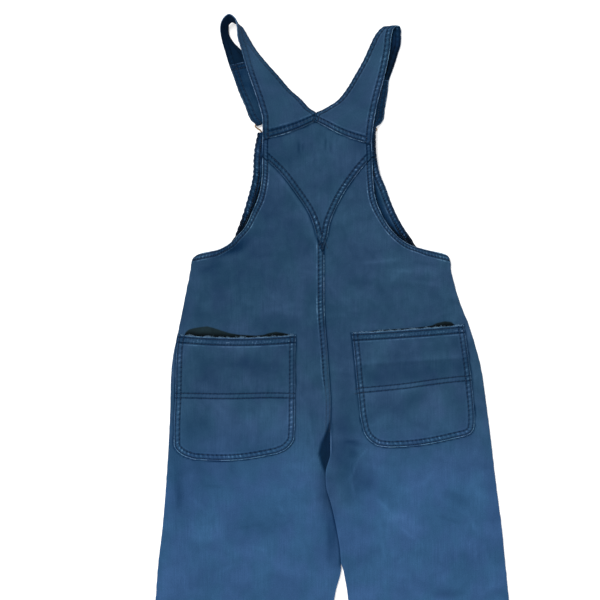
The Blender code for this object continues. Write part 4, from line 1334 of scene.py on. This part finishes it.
class DUNGAREES_OT_yoke(bpy.types.Operator):
    """Make the kite-shaped yoke between the shoulder blades"""

    bl_idname = "dungarees.yoke"
    bl_label = "Yoke"

    def execute(self, context):
        cloth = context.scene.dungarees_cloth
        yoke_panel(cloth)
        yoke_stitches(cloth)
        return {"FINISHED"}


# --- The straps -----------------------------------------------------------------------------------


def turn_round_bar(clasp):
    """A strap's end sections: under the clasp's bar, round it and back over it."""
    along = np.array([clasp.along_x, clasp.along_y])
    across = np.array([-clasp.along_y, clasp.along_x]) * STRAP_END_WIDTH / 2
    reach = WIRE_RADIUS + GAP + PLY / 2
    sections = []
    for angle in np.radians((-90, -45, 0, 45, 90)):
        middle = np.array([clasp.bar_x, clasp.bar_y]) + along * reach * math.cos(angle)
        z = BAR_Z + reach * math.sin(angle)
        sections.append((*(middle - across), z, *(middle + across), z, 1))
    return sections


def strap_sections(side):
    """All sections of a strap: its table, the turn round the bar and the folded-back end."""
    folded_back = []
    for row in reversed(side.strap[-side.tail :]):
        left, right = np.array(row[0:3]), np.array(row[3:6])
        inset = unit((right - left)[:2]) * TAIL_INSET
        folded_back.append((*(left + (*inset, PLY + GAP)), *(right + (*-inset, PLY + GAP)), 1))
    return np.array(side.strap + turn_round_bar(side.clasp) + folded_back)


def on_front(at):
    """0 on the part of a strap that runs up the back, and 1 on the part that runs down the front."""
    return rise(at, FRONT_FROM, 30)


def strap_middle(cloth, side):
    """A strap's middle surface as a grid, and how far along it each row lies.

    The rows are a smooth curve through the sections. Ahead of the first section come rows that pass
    over the yoke by the lap, one ply higher.
    """
    sections = strap_sections(side)
    run = travel((sections[:, 0:3] + sections[:, 3:6]) / 2)
    at = np.concatenate([[0, 0.6, 1.4], np.linspace(2.4, run[-1], int(run[-1] / 2))])
    row = smooth(at, run, sections)
    base = row[0, 3:5] - row[0, 0:2]
    back = unit(np.array([base[1], -base[0]]))
    before = np.array([LAP, LAP - 0.4, LAP - 0.9, LAP - 1.6, LAP - 2.6, 1.2])
    lead = np.repeat(row[:1], len(before), axis=0)
    for first in (0, 3):
        lead[:, first : first + 2] += back * before[:, None]
    row = np.vstack([lead, row])
    at = np.concatenate([-before, at]) + LAP
    left, right = row[:, 0:3], row[:, 3:6]
    edge = unit(right - left)
    rope = 0.22 + on_front(at) * (0.22 * ripple(at, 0 * at, 55, 12) - 0.10)
    rope = rope * rise(at, 20, 20)
    left -= edge * (rope * pucker_wave(cloth, 0, at))[:, None]
    right += edge * (rope * pucker_wave(cloth, 0, at + 20))[:, None]
    grid = columns(left, right, 34, 8)
    from_left = np.linalg.norm(grid - left[:, None], axis=2)
    share = from_left / np.linalg.norm(right - left, axis=1)[:, None]
    sag = side.sag * np.sin(math.pi * share) * fall(at, LAP, 30)[:, None]
    grid[:, :, 0:2] += back * sag[:, :, None]
    free = row[:, 6:7]
    on_back = back_underside(side, grid[:, :, 0], grid[:, :, 1]) + PLY / 2
    grid[:, :, 2] = on_back * (1 - free) + grid[:, :, 2] * free
    grid[:, :, 2] += LAP_RISE * fall(at, LAP + 3, 9)[:, None]
    if side is RIGHT:  # its inner corner crosses over the left strap's
        inner = np.linalg.norm(grid - left[:, None], axis=2)
        corner = fall(inner, 0, 22) * fall(at, LAP + 2, 16)[:, None]
        grid[:, :, 0] -= 3.5 * corner
        grid[:, :, 2] += (PLY + 0.2) * np.minimum(1, 1.8 * corner)
    return grid, at


def ribbon_path(upper, normal, from_left, target):
    """The path on a ribbon's face at a distance from its left edge, row by row, and its normals."""
    k = np.clip((from_left < target[:, None]).sum(axis=1), 1, from_left.shape[1] - 1)
    index = np.arange(len(k))
    low, high = from_left[index, k - 1], from_left[index, k]
    t = ((target - low) / np.maximum(high - low, 1e-6))[:, None]
    return upper[index, k - 1] * (1 - t) + upper[index, k] * t, normal[index, k]


def edge_scales(side):
    """How much narrower a strap's turned edges are, left and right: by the neck, not by the armhole."""
    return (1, NECK_SCALE) if side is LEFT else (NECK_SCALE, 1)


def looks_down(normal):
    """How far a strap's outer face looks down at the floor: 1 where it faces it."""
    return rise(0.5 - normal[:, :, 2], 0, 1)


def strap_faces(cloth, side, grid, at):
    """A strap's two faces, the outer one's normals, and distances from an edge and the left edge.

    The faces lie half a ply to each side of the middle surface. Where the outer one looks down at
    the floor its sewn edges are pressed flat.
    """
    normal = unit(np.cross(np.gradient(grid, axis=1), np.gradient(grid, axis=0)))
    from_left = np.cumsum(np.linalg.norm(np.diff(grid, axis=1, prepend=grid[:, :1]), axis=2), axis=1)
    width = from_left[:, -1:]
    scales = edge_scales(side)
    away = np.minimum(from_left * scales[0], (width - from_left) * scales[1])
    run = np.broadcast_to(at[:, None], away.shape)
    relief = sewn_relief(cloth, away, run + 20 * (from_left > width / 2))
    relief = relief * np.minimum(1, width / (2.2 * BAND))
    relief += sewn_relief(cloth, run, from_left, 0) + sewn_relief(cloth, at[-1] - run, from_left, 0.8)
    upper = grid + normal * (PLY / 2 + (1 - 0.65 * looks_down(normal)) * relief)[:, :, None]
    lower = grid - normal * (PLY / 2 + 0.35 * relief)[:, :, None]
    return upper, lower, normal, away, from_left


def strap_fields(side, grid, at, away, from_left):
    """What the shader reads on a strap: its tone, its turned edges and both its sewn ends.

    The neck's edge is darker than the armhole's. The front is darker, with creases painted into its
    tone as light and shade. No stitches show where the straps cross, and the left strap's fade
    towards its front.
    """
    left = side is LEFT
    width = from_left[:, -1:]
    run = np.broadcast_to(at[:, None], away.shape)
    front = on_front(run)
    by_neck = from_left > width / 2 if left else from_left < width / 2
    middle = np.exp(-2 * (2 * from_left / width - 1) ** 4)
    creases = ripple(from_left, run * 0.12, 9, 17) + 0.8 * ripple(from_left, run, 14, 23)
    tone = (0.50 if left else 0.52) + 0.05 * (middle - 0.5) * (1 - front)
    # Painted crease light and shade on the front.
    tone += front * (0.05 * creases - 0.10)
    faint, worn, plain = 1, 0 * away, 0.7 * front
    if left:
        fading = rise(run, 88, 36) * (1 - front)
        faint = 1 - 0.45 * front - 0.8 * fading
        worn = -0.7 * by_neck * (1 - front)
        plain = (0.55 + 0.45 * by_neck) * rise(run, 14, 6)
        tone += 0.16 * fading * ~by_neck * bell(away, 0, 1.3) - 0.07 * fall(run, 12, 4)
    tone += by_neck * (1 - front) * (0.05 * bell(away, 10.5, 1.8) - 0.10 * bell(away, 0, 2.2))
    tone -= front * (0.08 if left else 0.17)
    tone += patched(grid[:, :, 0], grid[:, :, 1], PATCHES_ON_STRAPS) * (1 - front)
    crossing = fall(np.hypot(grid[:, :, 0] + 28, grid[:, :, 1] - 556), 9, 8)
    outer_away = from_left if left else width - from_left
    crossed = np.where(run < 30, rise(outer_away, 8.5, 2), 1)
    ends = np.minimum(run * (0.8 if left else 1), at[-1] - run)
    return {
        "hem": field(away, run, faint), "seam": field(ends, from_left, crossed), "shade": tone,
        "weave": weave(from_left + (0 if left else 300), run),
        "worn": worn - (1 + worn) * crossing, "plain": plain,
    }


def strap_stitches(cloth, side, at, upper, normal, from_left):
    """Two rows along each edge of a strap and across each end, sunk where it looks at the floor."""
    width = from_left[:, -1]
    sunk = upper - normal * (SINK * looks_down(normal))[:, :, None]
    paths = []
    for row in ROWS:
        for from_right, scale in zip((False, True), edge_scales(side)):
            reach = np.where(width > 2 * row + 4, row / scale, width / 2 - 1.5)
            paths.append(ribbon_path(sunk, normal, from_left, width - reach if from_right else reach))
        for place in (row, at[-1] - row):
            k = np.argmin(np.abs(at - place))
            paths.append((upper[k, 6:-6], normal[k, 6:-6]))
    sew(f"stitches_strap_{side.name}", cloth, paths)


def strap(cloth, side, materials):
    """One strap: a ribbon with hemmed edges, its outer face washed and its inner one dark."""
    grid, at = strap_middle(cloth, side)
    upper, lower, normal, away, from_left = strap_faces(cloth, side, grid, at)
    fields = strap_fields(side, grid, at, away, from_left)
    piece = shell(f"cloth_strap_{side.name}", upper, lower, fields, materials)
    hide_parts(f"strap_{side.name}")
    strap_stitches(cloth, side, at, upper, normal, from_left)


class DUNGAREES_OT_straps(bpy.types.Operator):
    """Make the two straps, from the yoke over the shoulders to their clasps"""

    bl_idname = "dungarees.straps"
    bl_label = "Straps"

    def execute(self, context):
        cloth = context.scene.dungarees_cloth
        bands = [
            Band("hem", ROWS, 7.4, 0.60, 0.36, 0.05, 0.80, 0.14, 0.5),
            Band("seam", ROWS, 6, 0.52, 0.36, 0.06, 0.62, 0.18, 0.5),
        ]
        inner_band = Band("hem", ROWS, 8.4, 1.2, 0.2, 0.05, 0.6, 0.1, 0.4)
        outer = denim_material("denim_strap", cloth, bands, 12, 0.6)
        inner = denim_material("denim_strap_inside", cloth, [inner_band], 12, 0.4, -1, 0.39)
        for side in SIDES:
            strap(cloth, side, [outer, inner])
        return {"FINISHED"}


# --- The pockets ----------------------------------------------------------------------------------


def pocket_rows(rows, at):
    """The left and right ends of a pocket's rows, and how far each row sags in its middle."""
    row = smooth(at, [-r.left_y for r in rows], rows)
    return row[:, 0:2], row[:, 2:4], row[:, 4:5]


def sagging(left, right, sag, count):
    """A line from one point to another that hangs between them as half a sine."""
    share = np.linspace(0, 1, count)[:, None]
    line = left * (1 - share) + right * share
    line[:, 1] -= sag * np.sin(math.pi * share[:, 0])
    return line


def pocket_outline(rows):
    """A pocket's sewn edge: down its left side, along the bottom and up its right side."""
    left, right, sag = pocket_rows(rows, np.linspace(-rows[0].left_y, -rows[-1].left_y, 120))
    bottom = sagging(left[-1], right[-1], sag[-1], 60)[1:-1]
    return evenly(np.vstack([left, bottom, right[::-1]]))


def mouth_line(rows):
    """A pocket's mouth from its left corner to its right one, with its sag."""
    left, right, sag = pocket_rows(rows, np.array([-rows[0].left_y]))
    return sagging(left, right, sag[0], 120)


def mouth_swell(lobes, place, down):
    """How far a pocket stands away from the back: a rounded bulge in each lobe of its mouth."""
    swell = np.zeros(np.broadcast(place, down).shape)
    for lobe in lobes:
        share = np.clip((place - lobe.start) / (lobe.end - lobe.start), 0, 1)
        swell += lobe.rise * np.sin(math.pi * share) ** 2 * fall(down, 0, MOUTH_DEPTH)
    return swell


def reinforced_y(side, x):
    """Middle of the double row of stitches across a pocket."""
    mouth = mouth_line(side.pocket)
    start, end = side.double_y
    return start + (end - start) * (x - mouth[0, 0]) / (mouth[-1, 0] - mouth[0, 0]) + 0.6 * np.sin(x / 21)


def pocket_height(cloth, side, x, y):
    """Height of a pocket's upper face: the back's own, one ply up, with its swell and sewn edges."""
    edge_away, edge_along = nearest(x, y, pocket_outline(side.pocket))
    mouth = mouth_line(side.pocket)
    mouth_away, mouth_along = nearest(x, y, mouth)
    place = np.clip((x - mouth[0, 0]) / (mouth[-1, 0] - mouth[0, 0]), 0, 1)
    calm = rise(edge_away, 0, 16) * rise(mouth_away, 0, 16)
    height = back_underside(side, x, y) + folded(x, y, CREASES) + 2 * PLY + 0.15
    height += cloth.drift / MM * 1.3 * ripple(x, y, 40, 21) * calm
    height += 1.1 * rise(edge_away, 0, 26) * rise(mouth_away, 0, 20)
    height += mouth_swell(side.lobes, place, mouth_away)
    height += sewn_relief(cloth, edge_away, edge_along, 0.8)
    height += sewn_relief(cloth, mouth_away, mouth_along, 1.1) * rise(edge_away, 4, 6)
    double = y - reinforced_y(side, x)
    return height + 0.12 * bell(double, 0, 2.6) - 0.32 * sum(bell(double, row, 1.1) for row in DOUBLE_ROWS)


def pocket_grid(rows):
    """The grid of places of a pocket: its rows are close together at its mouth and its bottom."""
    first, bend, last = (-rows[k].left_y for k in (0, 3, -1))
    hem = [0, 0.35, 0.8, 1.4, 2.2, 3.2, 4.6, 6.4, 8.4, 9.4, 10.4, 11.4, 12.6]
    at = [first + np.array(hem), np.linspace(first + 15, bend, 64), np.linspace(bend, last, 32)[1:]]
    left, right, sag = pocket_rows(rows, np.concatenate(at))
    flat = columns(left, right, 92)
    share = np.linalg.norm(flat - left[:, None], axis=2) / np.linalg.norm(right - left, axis=1)[:, None]
    flat[:, :, 1] -= sag * np.sin(math.pi * share)
    return flat[:, :, 0], flat[:, :, 1]


def pocket(cloth, side, material):
    """One patch pocket on the back, with its hemmed mouth, its rows of stitches and its fray."""
    rows = side.pocket
    x, y = pocket_grid(rows)
    edge_away, edge_along = nearest(x, y, pocket_outline(rows))
    mouth = mouth_line(rows)
    mouth_away, mouth_along = nearest(x, y, mouth)
    top = pocket_height(cloth, side, x, y)
    floor = back_underside(side, x, y) + folded(x, y, CREASES) + PLY + 0.05
    bottom = np.where(edge_away < 3, np.minimum(top - PLY, floor), top - PLY)
    double = y - reinforced_y(side, x)
    shade = 0.57 - 0.075 * rise(double, 0, 8) + patched(x, y, side.patches)
    if side is RIGHT:  # a sharp crease crosses this pocket
        # Painted highlight above the crease and painted shade below it, besides its raised ridge.
        line = y - (184 + 0.07 * (x - 100))
        shade += 0.03 * bell(line, 4, 5) - 0.055 * fall(line, -1.2, 2.4) * fall(-line, 6, 22)
        top += 0.5 * bell(line, 0, 3)
    corner = rows[4]
    across = (x - corner.left_x) / (corner.right_x - corner.left_x)
    upright = rise(y - corner.left_y - (corner.right_y - corner.left_y) * across, 2, 14)
    fields = {
        "hem": field(edge_away, edge_along, 1 - 0.15 * upright), "shade": shade, "leg": leg_blue(y),
        "seam": field(mouth_away, mouth_along), "double": field(10 - double, x),
        "worn": -0.5 * upright * fall(edge_away, 5, 3) * rise(mouth_away, 4, 6),
    }
    piece = spread(f"cloth_pocket_{side.name}", x, y, top, bottom, fields, [material])
    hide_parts(f"pocket_{side.name}")
    pocket_stitches(cloth, side, mouth)


def pocket_stitches(cloth, side, mouth):
    """Two rows round a pocket, two below its mouth and two across it, and the mouth's fray."""
    across = np.arange(mouth[0, 0] + 4, mouth[-1, 0] + (0 if side is LEFT else 8), STITCH_STEP)
    paths = [shifted(pocket_outline(side.pocket), row) for row in ROWS]
    paths += [shifted(mouth, -row)[8:-8] for row in MOUTH_ROWS]
    paths += [np.column_stack([across, reinforced_y(side, across) + row]) for row in DOUBLE_ROWS]
    height = partial(pocket_height, cloth, side)
    sew_lying(f"stitches_pocket_{side.name}", cloth, height, paths)
    fray(f"fray_pocket_{side.name}", cloth, height, mouth)


def fray(name, cloth, height, line):
    """Loose weft ends along a worn edge: three-sided strands of four rings, in uneven tufts.

    Each strand starts at the edge and bends as the square of its length, up and to one side.
    """
    rng = np.random.default_rng(cloth.fray_seed + len(name))
    count = 560
    place = rng.uniform(0.02, 0.98, count)
    tufts = 0.5 + 0.5 * np.sin(place * 61 + 2 * np.sin(place * 17))
    length = (0.8 + 3.2 * rng.uniform(0, 1, count) ** 2) * (0.3 + 0.7 * tufts)
    x, y = picked(place * (len(line) - 1), np.arange(len(line)), line).T
    y = y - 0.2
    root = np.column_stack([x, y, height(x, y) + 0.05])
    lean = rng.normal(0, 0.6, count)[:, None]
    droop = rng.uniform(-0.35, 0.15, count)[:, None]
    t = np.linspace(0, 1, 4)
    bent = np.stack([lean * (t + 0.5 * t * t), 0 * lean + t, 0.25 * t + droop * t * t], axis=-1)
    centre = root[:, None] + length[:, None, None] * bent
    radius = 0.17 * np.array([1, 1, 0.8, 0.3])[:, None, None]
    turn = np.radians([90, 210, 330])
    spoke = np.stack([np.cos(turn), np.zeros(3), np.sin(turn)], axis=-1)
    cotton = bpy.data.materials.get("frayed_cotton") or fray_material(cloth)
    tubes(name, centre[:, :, None] + radius * spoke, cotton)


class DUNGAREES_OT_pockets(bpy.types.Operator):
    """Make the two back pockets with their hems, stitches and frayed mouths"""

    bl_idname = "dungarees.pockets"
    bl_label = "Pockets"

    def execute(self, context):
        cloth = context.scene.dungarees_cloth
        bands = [
            Band("hem", ROWS, 7, 0.50, 0.34, 0.03, 0.65, 0.05, 0.55),
            Band("seam", MOUTH_ROWS, 4.8, 0.60, 0.40, 0.05, 0.52, 0.22, 0.25),
            Band("double", (6.5, 13.5), 6, 0, 0.40, 0, 0, 0, 0),
        ]
        material = denim_material("denim_pocket", cloth, bands)
        for side in SIDES:
            pocket(cloth, side, material)
        return {"FINISHED"}


# --- The front, which lies below ------------------------------------------------------------------


def bib(cloth, materials):
    """The bib's inner face is up; its turned edges show the outer, faded side of the cloth."""
    y = np.concatenate([np.linspace(BIB[0].y, 334, 10), np.linspace(336, BIB[-1].y, 96)])
    left_x, right_x = smooth(y, [r.y for r in BIB], [(r.left_x, r.right_x) for r in BIB]).T
    left_y = y - BIB_SLOPE * rise(y, 487, 46)
    scallop = 0.5 * pucker_wave(cloth, 0, y) * rise(y, 345, 10)
    left = np.column_stack([left_x + scallop, left_y])
    flat = columns(left, np.column_stack([right_x - 0.4 * scallop, y]), 72)
    x, y = flat[:, :, 0], flat[:, :, 1]
    edges = [flat[10:, k, 0:2] for k in (0, -1)]
    away, along = nearest_of(x, y, edges)
    bottom = BIB_LIFT * pile(x, y)
    top = bottom + PLY + np.minimum(sewn_relief(cloth, away, along), 0.75)
    shade = 0.24 + 0.03 * rise(x, 0, 60) + 0.08 * fall(away, BAND - 1, 1.5)
    shade += patched(x, y, PATCHES_ON_BIB)
    # Painted shadow along the back's armhole edges, in the gap between bib and back; darkest low on the left.
    deepest = 1 - 0.7 * rise(y, 440, 30)
    shade -= 0.45 * deepest * bell(nearest(x, y, LEFT.armhole)[0], 1.5, 2)
    shade -= 0.24 * bell(nearest(x, y, RIGHT.armhole)[0], 1, 2.2)
    fields = {"hem": field(away, along), "shade": shade}
    piece = spread("cloth_bib", x, y, top, bottom, fields, materials)
    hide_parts("front_bib")

    def height(px, py):
        distance, _ = nearest_of(px, py, edges)
        return BIB_LIFT * pile(px, py) + PLY + 0.7 * fall(distance, BAND - 1.2, 1.6)

    paths = []
    for edge, side in zip(edges, SIDES):
        line = evenly(edge[3:])
        paths += [shifted(line, -side.inwards * row) for row in ROWS]
    sew_lying("stitches_bib", cloth, height, paths)


def lower_front(side, material):
    """One half of the lower front: flat on the floor, its inner face up."""
    levels = np.concatenate([np.linspace(HEM_Y, -150, 60), np.linspace(-146, WAIST_Y, 90)])
    start, end = on_line(side.outer, levels), on_line(side.seam, levels)
    start[:, 1] = end[:, 1] = levels
    end[:, 0] -= side.inwards * GAP
    flat = columns(start, end, 40, 4)
    x, y = flat[:, :, 0], flat[:, :, 1]
    rim = np.minimum(np.abs(x - start[:, None, 0]), np.abs(x - end[:, None, 0]))
    top = PLY - 0.3 * fall(rim, 0, 1.4) + 0.12 * ripple(x, y, 30, 31) * rise(rim, 0, 10)
    fields = {"shade": wash(x, y) - 0.02, "leg": leg_blue(y)}
    piece = spread(f"cloth_front_{side.name}", x, y, top, 0 * x, fields, [material])
    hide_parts(f"front_{side.name}")


class DUNGAREES_OT_front(bpy.types.Operator):
    """Make the bib and the two halves of the lower front, under the back"""

    bl_idname = "dungarees.front"
    bl_label = "Front"

    def execute(self, context):
        cloth = context.scene.dungarees_cloth
        band = Band("hem", ROWS, 5.2, 0.72, 0.28, 0.03, 0.22, 0.26, 0.6)
        inner = denim_material("denim_inside", cloth, [band], darkest=0)
        plain = denim_material("denim_front", cloth)
        bib(cloth, [inner, plain])
        for side in SIDES:
            lower_front(side, plain)
        return {"FINISHED"}


# --- Hardware, stage, panel -----------------------------------------------------------------------


class DUNGAREES_OT_hardware(bpy.types.Operator):
    """Give the clasps and buttons their brass"""

    bl_idname = "dungarees.hardware"
    bl_label = "Hardware"

    def execute(self, context):
        brass = brass_material(context.scene.dungarees_hardware)
        for node in ("clasp_left", "clasp_right", "button_left", "button_right"):
            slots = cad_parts[node].data.materials
            slots.clear()
            slots.append(brass)
        return {"FINISHED"}


class DUNGAREES_OT_stage(bpy.types.Operator):
    """Make the floor, the lights and the camera above the garment"""

    bl_idname = "dungarees.stage"
    bl_label = "Stage"

    def execute(self, context):
        scene, stage = context.scene, context.scene.dungarees_stage
        self.floor(scene, stage)
        self.light(scene, stage)
        self.camera(scene, stage)
        scene.view_settings.view_transform = "Standard"
        return {"FINISHED"}

    def floor(self, scene, stage):
        """A wide matt square just under the garment, slightly uneven in tone."""
        corners = [(x * FLOOR_HALF, y * FLOOR_HALF, FLOOR_Z) for x, y in ((-1, -1), (1, -1), (1, 1), (-1, 1))]
        mesh = bpy.data.meshes.new("floor")
        mesh.from_pydata(corners, [], [(0, 1, 2, 3)])
        tree = Tree("pale_floor")
        faint = tree.span(tree.noise(tree.place(), 3, 3), 0.2, 0.8)
        mesh.materials.append(tree.surface({
            "Base Color": tree.mixed(faint, stage.floor, times(stage.floor, 0.985)),
            "Roughness": 0.85, "Specular IOR Level": 0.1,
            "Emission Color": (1, 1, 1, 1), "Emission Strength": stage.floor_glow,
        }))
        floor = bpy.data.objects.new("floor", mesh)
        scene.collection.objects.link(floor)

    def light(self, scene, stage):
        """One soft sun, and an even white sky."""
        made = bpy.data.lights.new("sun", "SUN")
        made.energy = stage.sun
        made.angle = stage.sun_angle
        sun = bpy.data.objects.new("sun", made)
        sun.rotation_euler = Vector(SUN_TRAVEL).to_track_quat("-Z", "Y").to_euler()
        scene.collection.objects.link(sun)
        scene.world = bpy.data.worlds.new("soft_sky")
        scene.world.use_nodes = True
        sky = scene.world.node_tree.nodes["Background"].inputs
        sky["Color"].default_value = (1, 1, 1, 1)
        sky["Strength"].default_value = stage.sky

    def camera(self, scene, stage):
        """Straight above, with the view's lower edge just below the crotch and the straps whole."""
        made = bpy.data.cameras.new("camera")
        made.lens = stage.lens
        made.clip_end = 50
        camera = bpy.data.objects.new("camera", made)
        camera.location = (*VIEW_CENTRE, VIEW_WIDTH * stage.lens / made.sensor_width + VIEW_LEVEL)
        scene.collection.objects.link(camera)
        scene.camera = camera


STEPS = (
    DUNGAREES_OT_back, DUNGAREES_OT_yoke, DUNGAREES_OT_straps, DUNGAREES_OT_pockets,
    DUNGAREES_OT_front, DUNGAREES_OT_hardware, DUNGAREES_OT_stage,
)


class DUNGAREES_PT_panel(bpy.types.Panel):
    bl_idname = "DUNGAREES_PT_panel"
    bl_label = "Denim Dungarees"
    bl_space_type = "VIEW_3D"
    bl_region_type = "UI"
    bl_category = "Dungarees"

    def draw(self, context):
        for key in GROUPS:
            box = self.layout.box()
            group = getattr(context.scene, key)
            for setting in group.bl_rna.properties.keys():
                if setting not in ("rna_type", "name"):
                    box.prop(group, setting)
        for step in STEPS:
            self.layout.operator(step.bl_idname)


GROUPS = {
    "dungarees_cloth": DungareesCloth,
    "dungarees_hardware": DungareesHardware,
    "dungarees_stage": DungareesStage,
}
CLASSES = (*GROUPS.values(), *STEPS, DUNGAREES_PT_panel)


def register():
    for each in CLASSES:
        bpy.utils.register_class(each)
    for key, group in GROUPS.items():
        setattr(bpy.types.Scene, key, PointerProperty(type=group))


def unregister():
    for key in GROUPS:
        delattr(bpy.types.Scene, key)
    for each in reversed(CLASSES):
        bpy.utils.unregister_class(each)


def main():
    """Makes every piece in order."""
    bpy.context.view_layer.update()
    register()
    bpy.ops.dungarees.back()
    bpy.ops.dungarees.yoke()
    bpy.ops.dungarees.straps()
    bpy.ops.dungarees.pockets()
    bpy.ops.dungarees.front()
    bpy.ops.dungarees.hardware()
    bpy.ops.dungarees.stage()


if __name__ == "__main__":
    main()
